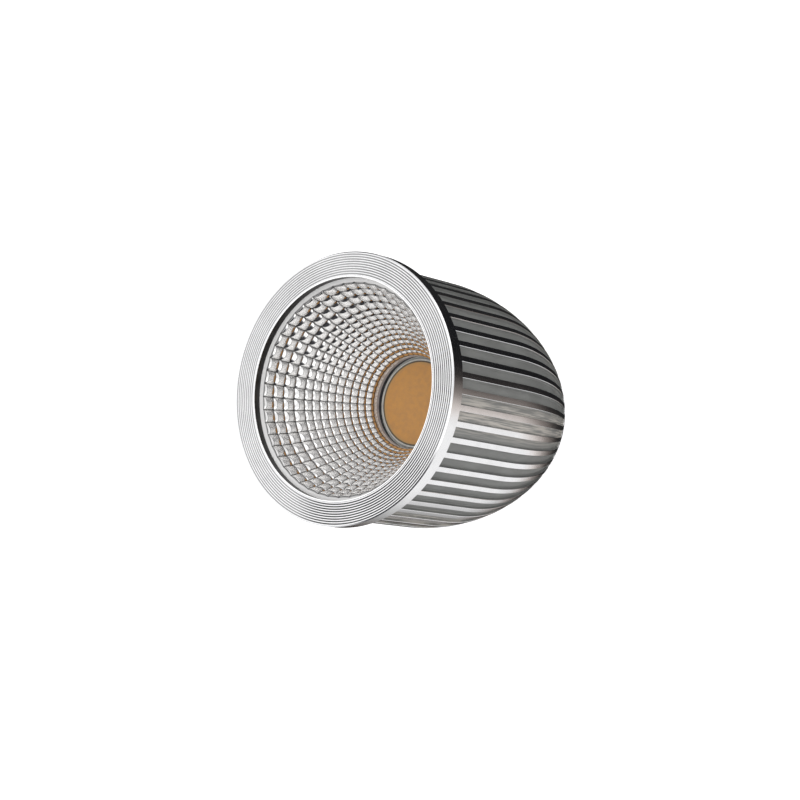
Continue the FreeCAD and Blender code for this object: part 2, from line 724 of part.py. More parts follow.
def fuse_resistor():
    """A round fusible resistor lying across the board's back, with swollen end caps."""
    radius = FUSE_RADIUS - PART_EDGE
    half = FUSE_LENGTH / 2
    body = turned_corners([
        (0, -half),
        (radius, -half),
        (FUSE_RADIUS, -half + PART_EDGE),
        (FUSE_RADIUS, -half + FUSE_CAP_LENGTH),
        (radius, -half + FUSE_CAP_LENGTH + PART_EDGE),
        (radius, half - FUSE_CAP_LENGTH - PART_EDGE),
        (FUSE_RADIUS, half - FUSE_CAP_LENGTH),
        (FUSE_RADIUS, half - PART_EDGE),
        (radius, half),
        (0, half),
    ])
    body.rotate(ORIGIN, FreeCAD.Vector(0, 1, 0), 90)
    low_z = driver_low_z + PART_GAP + FUSE_RADIUS
    body.translate(FreeCAD.Vector(FUSE_X, driver_back_y - FUSE_RADIUS, low_z))
    return body


def bridge_rectifier():
    low = driver_low_z + 2 * PART_GAP + 2 * FUSE_RADIUS
    return on_board(RECTIFIER_SIZE, RECTIFIER_X, low, -1)


def shunt_resistors():
    """A row of small chip resistors below the board's top edge, as one group."""
    low = driver_high_z - PART_GAP - SHUNT_SIZE[2]
    first = CHIP_X - (SHUNT_COUNT - 1) * SHUNT_PITCH / 2
    row = [on_board(SHUNT_SIZE, first + i * SHUNT_PITCH, low, -1) for i in range(SHUNT_COUNT)]
    return Part.makeCompound(row)


def insulator_disc():
    return disc(tube_radius, insulator_z, web_bottom_z)


PIECES = {
    "heat_sink": heat_sink,
    "front_ring": front_ring,
    "reflector_gasket": reflector_gasket,
    "reflector": reflector,
    "led_phosphor": led_phosphor,
    "led_dam": led_dam,
    "led_board": led_board,
    "thermal_pad": thermal_pad,
    "led_holder": led_holder,
    "holder_screws": holder_screws,
    "lead_sleeve": lead_sleeve,
    "insulator_disc": insulator_disc,
    "driver_tube": driver_tube,
    "driver_board": driver_board,
    "smoothing_capacitor": smoothing_capacitor,
    "choke_core": choke_core,
    "choke_winding": choke_winding,
    "film_capacitor": film_capacitor,
    "bridge_rectifier": bridge_rectifier,
    "driver_chip": driver_chip,
    "fuse_resistor": fuse_resistor,
    "shunt_resistors": shunt_resistors,
    "inlet_terminal": inlet_terminal,
    "rear_cap": rear_cap,
    "cable_grommet": cable_grommet,
}

os.makedirs("parts", exist_ok=True)
for name, make in PIECES.items():
    save(name, make())
save("positive_lead", lead(1))
save("negative_lead", lead(-1))
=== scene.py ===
# %% [markdown]
# # Dressing an LED spot module
# The part is a round lamp insert: a fluted aluminium body, a grooved front ring, a faceted mirror cup
# and a round light source at its bottom. Its construction comes in as a fixed frame, in metres, with
# the tail on z = 0 and the lamp's axis along Z. This lesson gives each visible piece its true surface
# and finish, without moving or resizing anything.

# %% The frame
import json
import math

import bmesh
import bpy
from mathutils import Matrix, Vector


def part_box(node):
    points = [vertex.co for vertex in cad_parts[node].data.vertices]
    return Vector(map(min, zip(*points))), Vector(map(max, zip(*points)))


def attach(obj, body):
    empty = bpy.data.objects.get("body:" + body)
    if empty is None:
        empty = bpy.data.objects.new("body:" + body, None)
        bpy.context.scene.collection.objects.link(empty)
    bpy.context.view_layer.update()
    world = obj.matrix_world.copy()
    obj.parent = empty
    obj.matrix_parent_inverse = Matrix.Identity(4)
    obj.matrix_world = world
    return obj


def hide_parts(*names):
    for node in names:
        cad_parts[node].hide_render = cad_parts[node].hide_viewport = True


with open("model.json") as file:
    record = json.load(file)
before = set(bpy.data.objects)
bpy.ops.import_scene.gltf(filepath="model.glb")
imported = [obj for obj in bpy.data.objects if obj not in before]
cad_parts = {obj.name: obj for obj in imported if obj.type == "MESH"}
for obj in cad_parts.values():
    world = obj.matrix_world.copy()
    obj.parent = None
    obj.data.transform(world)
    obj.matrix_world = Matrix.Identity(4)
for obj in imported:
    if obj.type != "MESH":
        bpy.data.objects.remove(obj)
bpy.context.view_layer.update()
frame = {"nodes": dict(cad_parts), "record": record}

MM = 0.001

# %% [markdown]
# ## Sizes
# The real part was measured once, for its construction. Whatever the frame can tell is read back from
# it here: boxes of nodes, and how far a node reaches from the axis. Only what lies inside a node, such
# as the flutes' depth or the grooves' pitch, is given again by name, in millimetres.

# %% Sizes read from the frame


def reach(node, low=-1.0, high=1.0):
    """The largest distance from the lamp's axis among a node's corners between two heights."""
    corners = [v.co for v in frame["nodes"][node].data.vertices if low <= v.co.z <= high]
    return max(math.hypot(co.x, co.y) for co in corners)


AXIS_POINT = 1e-6

rim_radius = reach("front_ring")
face_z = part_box("front_ring")[1].z
spigot_end_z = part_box("front_ring")[0].z
spigot_radius = reach("front_ring", spigot_end_z - AXIS_POINT, spigot_end_z + AXIS_POINT)
body_radius = reach("heat_sink")
rim_back_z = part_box("heat_sink")[1].z
reflector_top_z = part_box("reflector")[1].z
holder_top_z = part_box("reflector")[0].z
flange_radius = reach("reflector")
lip_back_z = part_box("reflector_gasket")[1].z
NECK_LENGTH = 1.55 * MM
facets_end_z = holder_top_z + NECK_LENGTH
phosphor_radius = reach("led_phosphor")
phosphor_top_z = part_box("led_phosphor")[1].z
board_top_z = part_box("led_board")[1].z
dam_radius = reach("led_dam")
dam_top_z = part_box("led_dam")[1].z
seat_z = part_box("thermal_pad")[0].z
web_bottom_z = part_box("insulator_disc")[1].z
tube_top_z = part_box("driver_tube")[1].z
print("rim radius %.2f mm, face at %.2f mm" % (rim_radius / MM, face_z / MM))
print("body radius %.2f mm, phosphor radius %.2f mm" % (body_radius / MM, phosphor_radius / MM))

# %% [markdown]
# ## Two small helpers
# Shader maths reads best as ordinary sums, so one small class wraps a node's output and turns `a * b`
# or `1 - a` into Math nodes. Every other node, for shaders and for Geometry Nodes alike, comes from
# one method that takes its type, its settings and what goes into its sockets.

# %% Node trees written as expressions


class Value:
    """One output socket that can be used in sums."""

    def __init__(self, nodes, socket):
        self.nodes = nodes
        self.socket = socket

    def maths(self, operation, *values):
        return self.nodes.add("ShaderNodeMath", {"operation": operation}, dict(enumerate(values)))

    def __add__(self, other):
        return self.maths("ADD", self, other)

    def __radd__(self, other):
        return self.maths("ADD", other, self)

    def __sub__(self, other):
        return self.maths("SUBTRACT", self, other)

    def __rsub__(self, other):
        return self.maths("SUBTRACT", other, self)

    def __mul__(self, other):
        return self.maths("MULTIPLY", self, other)

    def __rmul__(self, other):
        return self.maths("MULTIPLY", other, self)

    def __truediv__(self, other):
        return self.maths("DIVIDE", self, other)

    def __pow__(self, other):
        return self.maths("POWER", self, other)

    def at_most(self, other):
        return self.maths("MINIMUM", self, other)

    def magnitude(self):
        return self.maths("ABSOLUTE", self)

    def ramp(self, start, end):
        """0 before start, 1 after end, and smooth between them."""
        values = {"Value": self, "From Min": start, "From Max": end}
        return self.nodes.add("ShaderNodeMapRange", {"interpolation_type": "SMOOTHSTEP"}, values)


class Nodes:
    """A node tree that is filled one node at a time."""

    def __init__(self, tree):
        self.tree = tree

    def add(self, kind, settings=None, values=None, out=0):
        node = self.tree.nodes.new(kind)
        for name, setting in (settings or {}).items():
            if name == "stops":
                self.set_stops(node.color_ramp, setting)
            else:
                setattr(node, name, setting)
        for key, item in (values or {}).items():
            socket = self.find(node.inputs, key)
            if isinstance(item, Value):
                self.tree.links.new(item.socket, socket)
            else:
                socket.default_value = item
        return Value(self, self.find(node.outputs, out))

    @staticmethod
    def find(sockets, key):
        usable = [s for s in sockets if s.enabled]
        if isinstance(key, int):
            return usable[key]
        return next(s for s in usable if s.name == key)

    @staticmethod
    def set_stops(ramp, stops):
        while len(ramp.elements) < len(stops):
            ramp.elements.new(1.0)
        for element, (position, colour) in zip(ramp.elements, stops):
            element.position = position
            element.color = (*colour, 1)

    def mix(self, share, first, second):
        """A colour between two others."""
        values = {"Factor": share, "A": rgba(first), "B": rgba(second)}
        return self.add("ShaderNodeMix", {"data_type": "RGBA"}, values)

    def part(self, value, name):
        """Another output of the node that a value comes from."""
        return Value(self, self.find(value.socket.node.outputs, name))


def rgba(colour):
    return colour if isinstance(colour, Value) or len(colour) == 4 else (*colour, 1)


# %% [markdown]
# ## Materials
# A real surface is never one flat colour. Each maker below starts from a Principled shader and lets a
# few things vary with the place on the piece: colour and roughness through noise, and the surface's
# tilt through a bump. The places are Object coordinates in millimetres, so a pattern keeps its real
# scale and stays put on the piece.

# %% The start of every material


def srgb(red, green, blue):
    """A colour as read off a screen, 0 to 255, as the linear one that shaders use."""
    def linear(level):
        share = level / 255
        return share / 12.92 if share <= 0.04045 else ((share + 0.055) / 1.055) ** 2.4
    return (linear(red), linear(green), linear(blue))


class Finish:
    """A new material with its Principled shader, and the places on the piece in millimetres."""

    def __init__(self, name, colour, roughness, metallic=0.0, **fixed):
        self.material = bpy.data.materials.new(name)
        self.material.use_nodes = True
        self.nodes = Nodes(self.material.node_tree)
        self.surface = self.material.node_tree.nodes["Principled BSDF"]
        place = self.nodes.add("ShaderNodeTexCoord", out="Object")
        scale = {"Vector": place, "Scale": (1 / MM, 1 / MM, 1 / MM)}
        self.place = self.nodes.add("ShaderNodeMapping", values=scale)
        self.colour = rgba(colour)
        self.set("Base Color", self.colour)
        self.set("Roughness", roughness)
        self.set("Metallic", metallic)
        for socket, setting in fixed.items():
            self.set(socket.replace("_", " "), setting)

    def set(self, socket, item):
        target = self.surface.inputs[socket]
        if isinstance(item, Value):
            self.material.node_tree.links.new(item.socket, target)
        else:
            target.default_value = item

    def noise(self, scale, detail=3.0, stretch=(1, 1, 1)):
        """Noise with about that many blotches to the millimetre."""
        place = self.nodes.add("ShaderNodeMapping", values={"Vector": self.place, "Scale": stretch})
        values = {"Vector": place, "Scale": scale, "Detail": detail}
        return self.nodes.add("ShaderNodeTexNoise", values=values)

    def coordinates(self):
        """X, Y and Z of the place, in millimetres."""
        x = self.nodes.add("ShaderNodeSeparateXYZ", values={"Vector": self.place}, out="X")
        return x, self.nodes.part(x, "Y"), self.nodes.part(x, "Z")

    def radius(self):
        """The distance from the lamp's axis, in millimetres."""
        x, y, _ = self.coordinates()
        return (x * x + y * y) ** 0.5

    def bump(self, height, depth, strength=1.0, under=None):
        """Tilts the surface as a relief of that depth in millimetres would."""
        values = {"Height": height, "Distance": depth * MM, "Strength": strength}
        if under is not None:
            values["Normal"] = under
        return self.nodes.add("ShaderNodeBump", values=values)


# %% Plain moulded, painted and ground surfaces


def moulded(name, colour, roughness=0.5, spread=0.12, grain=6.0, depth=0.004, metallic=0.0, **fixed):
    """Plastic, rubber, paint or ceramic: blotches of a near colour over a fine grain."""
    finish = Finish(name, colour, roughness, metallic, **fixed)
    blotch = finish.noise(grain / 8)
    darker = tuple(level * (1 - spread) for level in colour)
    lighter = tuple(min(1, level * (1 + spread)) for level in colour)
    finish.set("Base Color", finish.nodes.mix(blotch.ramp(0.3, 0.7), darker, lighter))
    finish.set("Roughness", roughness * (0.85 + 0.3 * finish.noise(grain / 3)))
    finish.set("Normal", finish.bump(finish.noise(grain), depth))
    return finish.material


MOULDED_FINISHES = [
    ("board_ceramic", srgb(226, 226, 220), 0.45, {}),
    ("pad_silicone", srgb(150, 158, 168), 0.7, {}),
    ("holder_plastic", srgb(64, 64, 68), 0.45, {}),
    ("screw_steel", srgb(190, 190, 188), 0.25, {"metallic": 1.0}),
    ("sleeve_plastic", srgb(235, 235, 230), 0.5, {}),
    ("insulating_film", srgb(196, 150, 60), 0.35, {}),
    ("tube_plastic", srgb(228, 228, 224), 0.5, {}),
    ("circuit_board", srgb(34, 96, 60), 0.35, {}),
    ("capacitor_sleeve", srgb(30, 34, 44), 0.3, {}),
    ("ferrite", srgb(52, 50, 50), 0.6, {"grain": 9.0}),
    ("film_capacitor_box", srgb(196, 44, 36), 0.35, {}),
    ("moulding_compound", srgb(36, 36, 38), 0.6, {"grain": 10.0}),
    ("resistor_body", srgb(94, 142, 120), 0.45, {}),
    ("terminal_plastic", srgb(236, 236, 232), 0.4, {}),
    ("cap_plastic", srgb(36, 36, 38), 0.5, {"depth": 0.008}),
    ("grommet_rubber", srgb(28, 28, 29), 0.75, {"depth": 0.01}),
    ("red_lead", srgb(184, 30, 26), 0.4, {}),
    ("black_lead", srgb(26, 26, 27), 0.4, {}),
    ("gasket_silicone", srgb(22, 22, 23), 0.6, {}),
    ("dam_silicone", srgb(196, 194, 188), 0.35, {}),
]
SLOT_FINISHES = {
    name: moulded(name, colour, roughness, **extra)
    for name, colour, roughness, extra in MOULDED_FINISHES
}
print(len(SLOT_FINISHES), "moulded finishes")

# %% [markdown]
# ## Aluminium
# The body is cast grey first and turned bright afterwards. The lathe only touches what stands proud, so
# the lands and the rim shine while the flutes keep the dull grey. A turned surface carries the marks of
# the tool's feed: rings around the axis, far finer than a millimetre. A bump made from the height along
# the axis, or from the radius on a face, gives them. On the +X side the flutes carry a painted highlight,
# and on the -Y side they are painted paler; both lie in streaks that run along the body because their
# noise depends on the angle around it.

# %% Turned and cast aluminium
FEED_PITCH = 0.09
CAST_GREY = srgb(118, 119, 117)
STREAK_GREY = srgb(186, 181, 174)
BRIGHT = srgb(240, 240, 241)
LIT_SIDE_SLOPE = 0.03
STREAKS_AROUND = 20
STREAKS_ALONG = 0.035
LEAST_STREAKED = 0.12
FRONT_STREAKED = 0.85


def turned_aluminium(name, colour, roughness, feed_depth, along):
    """Bright metal with feed marks that follow the radius or the height."""
    finish = Finish(name, colour, roughness, metallic=1.0)
    _, _, height = finish.coordinates()
    travel = finish.radius() if along == "radius" else height
    wobble = finish.noise(2.0) * 0.1
    phase = (travel + wobble) * (2 * math.pi / FEED_PITCH)
    marks = finish.nodes.add("ShaderNodeMath", {"operation": "SINE"}, {0: phase})
    finish.set("Normal", finish.bump(marks * 0.5 + 0.5, feed_depth))
    streak = finish.noise(1.2, stretch=(1, 1, 0.15))
    finish.set("Roughness", roughness * (0.75 + 0.5 * streak))
    tint = finish.noise(0.35)
    duller = tuple(level * 0.95 for level in colour)
    finish.set("Base Color", finish.nodes.mix(tint.ramp(0.35, 0.7), colour, duller))
    return finish.material


def cast_aluminium():
    """The dull grey in the flutes, with a fine cast grain, a painted highlight in pale streaks on the +X
    side and pale streaks on the -Y side.
    """
    finish = Finish("cast_aluminium", CAST_GREY, 0.5, metallic=0.25)
    blotch = finish.noise(0.5, stretch=(1, 1, 0.3))
    lighter = tuple(level * 1.18 for level in CAST_GREY)
    plain = finish.nodes.mix(blotch.ramp(0.35, 0.7), CAST_GREY, lighter)
    x, y, height = finish.coordinates()
    # The pale streaks on the +X side are a painted highlight; the -Y side is painted paler in streaks too.
    slope = y / x
    off_side = (slope - LIT_SIDE_SLOPE).magnitude()
    stretched = {"X": slope * STREAKS_AROUND, "Z": height * STREAKS_ALONG}
    around = finish.nodes.add("ShaderNodeCombineXYZ", values=stretched)
    streaks = finish.nodes.add("ShaderNodeTexNoise", values={"Vector": around, "Scale": 3.6, "Detail": 3.0})
    streak = streaks.ramp(0.41, 0.59)
    lit_side = (1 - off_side.ramp(0.05, 0.22)) * x.ramp(0, 5)
    in_front = (0 - y / finish.radius()).ramp(0.76, 0.88)
    paler_streaks = (lit_side + in_front * FRONT_STREAKED) * (LEAST_STREAKED + (1 - LEAST_STREAKED) * streak)
    finish.set("Base Color", finish.nodes.mix(paler_streaks, plain, STREAK_GREY))
    finish.set("Roughness", 0.42 + 0.16 * finish.noise(3.0, stretch=(1, 1, 0.2)))
    finish.set("Normal", finish.bump(finish.noise(7.0, stretch=(1, 1, 0.5)), 0.01))
    return finish.material


turned_side = turned_aluminium("turned_aluminium_side", BRIGHT, 0.16, 0.0012, "height")
turned_face = turned_aluminium("turned_aluminium_face", BRIGHT, 0.3, 0.002, "radius")
# The groove walls of the ring get a darker grey: painted shade in the recesses.
shaded_groove = turned_aluminium("turned_aluminium_groove_painted_shade", srgb(184, 184, 184), 0.12, 0.0005, "radius")
cast_grey = cast_aluminium()
# The lip's inner wall gets a near-black colour: painted shade.
shaded_lip = moulded("lip_painted_shade", srgb(52, 51, 50), 0.35, spread=0.4, grain=3.0, metallic=0.8)
print("five aluminium finishes")

# %% [markdown]
# ## Mirror coating and phosphor
# The cup is moulded plastic with a vapour-deposited mirror, so its facets are metal to the eye with very
# little roughness. The neck and the flat rim look pale and plain instead, with brownish patches on the
# neck that are a painted reflection of the phosphor. A value on each corner paints shade into the
# creases. The phosphor is silicone filled with yellow powder: matte, with a fine grain, paler where it
# thins out, and dark in a narrow line at its edge, which is painted shade.

# %% Mirror and phosphor


def mirror_coating():
    """Sharp on the facets, plain and duller on the neck and the flat rim, with painted shade in the creases
    and a painted reflection in brownish patches on the neck.
    """
    bright = srgb(249, 248, 247)
    finish = Finish("mirror_coating", bright, 0.03, metallic=1.0)
    _, _, height = finish.coordinates()
    facets_end, rim = facets_end_z / MM, reflector_top_z / MM
    neck = 1 - height.ramp(facets_end - 0.16, facets_end - 0.1)
    top = height.ramp(rim - 0.03, rim - 0.01)
    plain = neck + top
    finish.set("Metallic", 1 - plain)
    finish.set("Roughness", 0.02 + 0.02 * finish.noise(1.5) + plain * 0.25)
    # Brownish patches on the neck are a painted reflection of the phosphor.
    thinning_and_reflection = finish.noise(2.4).ramp(0.48, 0.6) * neck
    with_painted_reflection = finish.nodes.mix(thinning_and_reflection * 0.5, bright, srgb(148, 118, 84))
    # The crease value paints shade into the creases between the facets.
    crease = finish.nodes.add("ShaderNodeAttribute", {"attribute_name": "crease"}, out="Fac")
    finish.set("Base Color", finish.nodes.mix(crease, with_painted_reflection, srgb(24, 22, 21)))
    finish.set("Normal", finish.bump(finish.noise(1.6, detail=1.0), 0.004))
    return finish.material


def phosphor():
    ochre = srgb(204, 148, 81)
    finish = Finish("phosphor", ochre, 0.55)
    mottled = finish.nodes.mix(finish.noise(1.1).ramp(0.3, 0.75), ochre, srgb(193, 141, 83))
    from_edge = phosphor_radius / MM - finish.radius()
    thinning_and_reflection = 1 - from_edge.ramp(0.1, 1.1)
    paler = finish.nodes.mix(thinning_and_reflection * 0.5, mottled, srgb(180, 145, 98))
    # The narrow dark line at the edge is painted shade.
    rim = 1 - from_edge.ramp(0.12, 0.4)
    finish.set("Base Color", finish.nodes.mix(rim, paler, srgb(84, 80, 66)))
    finish.set("Normal", finish.bump(finish.noise(9.0), 0.02))
    return finish.material


SLOT_FINISHES["mirror_coating"] = mirror_coating()
SLOT_FINISHES["phosphor"] = phosphor()
SLOT_FINISHES["fluted_aluminium"] = turned_side
SLOT_FINISHES["ring_aluminium"] = turned_face
print("mirror and phosphor done")

# %% [markdown]
# ## Copper wire
# Enamelled copper is a clear orange-red metal under a thin coat of varnish.

# %% Enamelled copper


def enamelled_copper():
    finish = Finish("copper_wire", srgb(198, 108, 62), 0.3, metallic=1.0, Coat_Weight=0.6)
    finish.set("Roughness", 0.2 + 0.2 * finish.noise(2.0))
    return finish.material


SLOT_FINISHES["copper_wire"] = enamelled_copper()

# %% [markdown]
# ## Pieces from a section
# Most of this lamp was made on a lathe or in a round mould, so most pieces are a section turned about
# the axis. A section is a closed list of corners, each with a radius and a height. Corners on the axis
# share one point there, which closes the poles.

# %% Turning a section


def finished_piece(name, mesh, slot, *nodes):
    """Puts a mesh into the scene as a piece that rides on the body and stands for nodes; slot is not used.
    """
    piece = bpy.data.objects.new(name, mesh)
    bpy.context.scene.collection.objects.link(piece)
    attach(piece, "root")
    if nodes:
        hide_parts(*nodes)
    mesh.calc_loop_triangles()
    print(name, len(mesh.loop_triangles), "triangles")


def shade(mesh, sharp_degrees):
    """Smooth shading with a crisp line along every edge that is sharper than an angle."""
    work = bmesh.new()
    work.from_mesh(mesh)
    for face in work.faces:
        face.smooth = True
    for edge in work.edges:
        edge.smooth = edge.calc_face_angle(0.0) < math.radians(sharp_degrees)
    work.to_mesh(mesh)
    work.free()
    return mesh


def turned_mesh(name, section, segments, material, sharp_degrees=25):
    """A closed mesh turned from a section of (radius, height) corners, in metres."""
    work = bmesh.new()
    rings = []
    for r, z in section:
        if r < AXIS_POINT:
            rings.append([work.verts.new((0, 0, z))] * segments)
        else:
            turns = [2 * math.pi * i / segments for i in range(segments)]
            rings.append([work.verts.new((r * math.cos(t), r * math.sin(t), z)) for t in turns])
    for ring, following in zip(rings, rings[1:] + rings[:1]):
        for i in range(segments):
            j = (i + 1) % segments
            corners = list(dict.fromkeys((ring[i], ring[j], following[j], following[i])))
            if len(corners) > 2:
                work.faces.new(corners)
    bmesh.ops.recalc_face_normals(work, faces=work.faces)
    mesh = bpy.data.meshes.new(name)
    work.to_mesh(mesh)
    work.free()
    mesh.materials.append(material)
    return shade(mesh, sharp_degrees)


def turned_piece(name, section, segments, slot, node, sharp_degrees=25):
    """A turned piece that stands for one node and has its slot's finish all over."""
    mesh = turned_mesh(name, section, segments, SLOT_FINISHES[slot], sharp_degrees)
    finished_piece(name, mesh, slot, node)


def rounded(corner, before, after, radius, steps=4):
    """The points that take the edge off a section's corner, as a short arc between its two sides."""
    centre = Vector(corner)
    start = centre + (Vector(before) - centre).normalized() * radius
    end = centre + (Vector(after) - centre).normalized() * radius
    shares = [i / steps for i in range(steps + 1)]
    return [tuple(start * (1 - s) ** 2 + centre * 2 * s * (1 - s) + end * s ** 2) for s in shares]


# %% [markdown]
# ## The front ring
# One turned piece: the flat face with ten fine V grooves, the lip that holds the reflector, and the
# spigot that screws into the body. Each groove gets a softened shoulder, because a real tool leaves no
# perfect corner, and that shoulder is what catches the light. The tool leans, so the outer wall of a
# groove slopes gently and the inner one is steep. The groove walls are painted a darker grey as shade.

# %% Front ring
RING_EDGE_CHAMFER = 0.2 * MM
GROOVE_COUNT = 10
GROOVE_PITCH = 0.444 * MM
GROOVE_WIDTH = 0.25 * MM
GROOVE_DEPTH = 0.13 * MM
GROOVE_MARGIN = 0.5 * MM
SHOULDER = 0.03 * MM
TOOL_LEAN = 0.8
LIP_CHAMFER = 0.15 * MM
SPIGOT_WALL = 0.75 * MM
LIP_OVERLAP = 0.85 * MM
LIP_TOLERANCE = 0.02 * MM
FLAT_ENOUGH = 0.97
ROUND_SEGMENTS = 360

spigot_bore = spigot_radius - SPIGOT_WALL
mouth_radius = spigot_bore - LIP_OVERLAP


def groove_section():
    """Shoulder, bottom and shoulder of every groove, from the outside inwards."""
    section = []
    for i in range(GROOVE_COUNT):
        centre = rim_radius - GROOVE_MARGIN - i * GROOVE_PITCH
        half = GROOVE_WIDTH / 2
        section += [
            (centre + half + SHOULDER, face_z),
            (centre + half, face_z - SHOULDER / 4),
            (centre - half * TOOL_LEAN, face_z - GROOVE_DEPTH),
            (centre - half, face_z - SHOULDER / 4),
            (centre - half - SHOULDER, face_z),
        ]
    return section


ring_section = [
    (spigot_bore, spigot_end_z),
    (spigot_radius, spigot_end_z),
    (spigot_radius, rim_back_z),
    (rim_radius - RING_EDGE_CHAMFER, rim_back_z),
    (rim_radius, rim_back_z + RING_EDGE_CHAMFER),
    (rim_radius, face_z - RING_EDGE_CHAMFER),
    (rim_radius - RING_EDGE_CHAMFER, face_z),
    *groove_section(),
    (mouth_radius + LIP_CHAMFER, face_z),
    (mouth_radius, face_z - LIP_CHAMFER),
    (mouth_radius, lip_back_z),
    (spigot_bore, lip_back_z),
]
ring_mesh = turned_mesh("front_ring_turned", ring_section, ROUND_SEGMENTS, turned_face)
SIDE, LIP, GROOVE = 1, 2, 3
for material in (turned_side, shaded_lip, shaded_groove):
    ring_mesh.materials.append(material)
for polygon in ring_mesh.polygons:
    distance = math.hypot(polygon.center.x, polygon.center.y)
    if polygon.normal.z < FLAT_ENOUGH:
        on_face = mouth_radius + LIP_CHAMFER < distance < rim_radius - RING_EDGE_CHAMFER
        polygon.material_index = GROOVE if on_face and polygon.center.z > lip_back_z else SIDE
    # The lip's inner wall takes the painted shade.
    if abs(distance - mouth_radius) < LIP_TOLERANCE:
        polygon.material_index = LIP
finished_piece("front_ring_turned", ring_mesh, "ring_aluminium", "front_ring")

# %% [markdown]
# ## One sector, many times
# The flutes and the mirror's facets repeat fifty times around the axis. It is enough to build one sector
# and let Geometry Nodes place the copies: a line of points that all lie on the axis, a copy of
# the sector on each, turned by its index, then made real and welded into one skin. A true or false value
# on each face tells the tree which of two materials it gets.

# %% The tree that repeats a sector


def repeat_tree():
    """Copies its geometry around the axis, welds the copies and gives them two materials."""
    tree = bpy.data.node_groups.new("repeat_around_axis", "GeometryNodeTree")
    for name, kind, way in (
        ("Sector", "NodeSocketGeometry", "INPUT"),
        ("Count", "NodeSocketInt", "INPUT"),
        ("Weld", "NodeSocketFloat", "INPUT"),
        ("Main", "NodeSocketMaterial", "INPUT"),
        ("Marked", "NodeSocketMaterial", "INPUT"),
        ("Piece", "NodeSocketGeometry", "OUTPUT"),
    ):
        tree.interface.new_socket(name=name, in_out=way, socket_type=kind)
    nodes = Nodes(tree)
    sector = nodes.add("NodeGroupInput", out="Sector")
    count, weld, main, marked = (nodes.part(sector, n) for n in ("Count", "Weld", "Main", "Marked"))
    line_values = {"Count": count, "Offset": (0, 0, 0)}
    points = nodes.add("GeometryNodeMeshLine", {"mode": "OFFSET"}, line_values)
    index = nodes.add("GeometryNodeInputIndex")
    turn = nodes.add("ShaderNodeCombineXYZ", values={"Z": index * (2 * math.pi) / count})
    copies = {"Points": points, "Instance": sector, "Rotation": turn}
    instances = nodes.add("GeometryNodeInstanceOnPoints", values=copies)
    real = nodes.add("GeometryNodeRealizeInstances", values={"Geometry": instances})
    skin = nodes.add("GeometryNodeMergeByDistance", values={"Geometry": real, "Distance": weld})
    dressed = nodes.add("GeometryNodeSetMaterial", values={"Geometry": skin, "Material": main})
    mark = nodes.add("GeometryNodeInputNamedAttribute", {"data_type": "BOOLEAN"}, {"Name": "marked"})
    chosen = {"Geometry": dressed, "Selection": mark, "Material": marked}
    last = nodes.add("GeometryNodeSetMaterial", values=chosen)
    output = tree.nodes.new("NodeGroupOutput")
    tree.links.new(last.socket, output.inputs["Piece"])
    return tree


REPEAT_AROUND = repeat_tree()
WELD_DISTANCE = 1e-7


def run_tree(name, source, tree, inputs):
    """The plain mesh that a Geometry Nodes tree makes from a source object."""
    modifier = source.modifiers.new(tree.name, "NODES")
    modifier.node_group = tree
    for item in tree.interface.items_tree:
        if item.in_out == "INPUT" and item.name in inputs:
            modifier[item.identifier] = inputs[item.name]
    bpy.context.view_layer.update()
    evaluated = source.evaluated_get(bpy.context.evaluated_depsgraph_get())
    mesh = bpy.data.meshes.new_from_object(evaluated)
    mesh.name = name
    bpy.data.objects.remove(source)
    return mesh


def repeated(name, work, count, main, marked, sharp_degrees):
    """A whole piece from one sector, given as a bmesh whose 'marked' layer tells the two materials apart."""
    sector = bpy.data.meshes.new(name + "_sector")
    work.to_mesh(sector)
    work.free()
    source = bpy.data.objects.new(name + "_sector", sector)
    bpy.context.scene.collection.objects.link(source)
    inputs = {"Count": count, "Weld": WELD_DISTANCE, "Main": main, "Marked": marked}
    mesh = run_tree(name, source, REPEAT_AROUND, inputs)
    return shade(mesh, sharp_degrees)


# %% [markdown]
# ## The fluted body
# Seen from the side the body is a straight wall that runs into one long arc towards the tail. An end mill
# cut fifty flutes of constant angular width into it, so they narrow with the radius and end in a half
# round. The sector is a grid: columns across one flute and its two half lands, and stations along the
# body. Past the flute's end only the land's columns go on. The same columns run round the tail and up
# through the bores, so that the sector closes into a solid wedge.

# %% The body's outline
STRAIGHT_STRETCH = 21.0 * MM
TAIL_EDGE_CHAMFER = 0.5 * MM
FLUTE_COUNT = 50
FLUTE_SHARE = 0.62
FLUTE_DEPTH = 0.6 * MM
FLUTE_END_HEIGHT = 6.5 * MM
EDGE_BREAK = 0.055 * MM
FLOOR_FILLET = 0.12 * MM

tail_radius = reach("heat_sink", -1.0, AXIS_POINT) + TAIL_EDGE_CHAMFER
straight_end_z = rim_back_z - STRAIGHT_STRETCH
taper = body_radius - tail_radius
arc_radius = (taper ** 2 + straight_end_z ** 2) / (2 * taper)
sector_angle = 2 * math.pi / FLUTE_COUNT
flute_half_angle = FLUTE_SHARE * sector_angle / 2
print("tail radius %.2f mm, arc radius %.1f mm" % (tail_radius / MM, arc_radius / MM))


def outline(travel, inset):
    """Radius and height of the body's outside, some way down from the rim and some way below the surface."""
    if travel <= STRAIGHT_STRETCH:
        return body_radius - inset, rim_back_z - travel
    turn = (travel - STRAIGHT_STRETCH) / arc_radius
    bent = arc_radius - inset
    return body_radius - arc_radius + bent * math.cos(turn), straight_end_z - bent * math.sin(turn)


def travel_to(height):
    """How far down the outside a height on the arc is reached."""
    return STRAIGHT_STRETCH + arc_radius * math.asin((straight_end_z - height) / arc_radius)


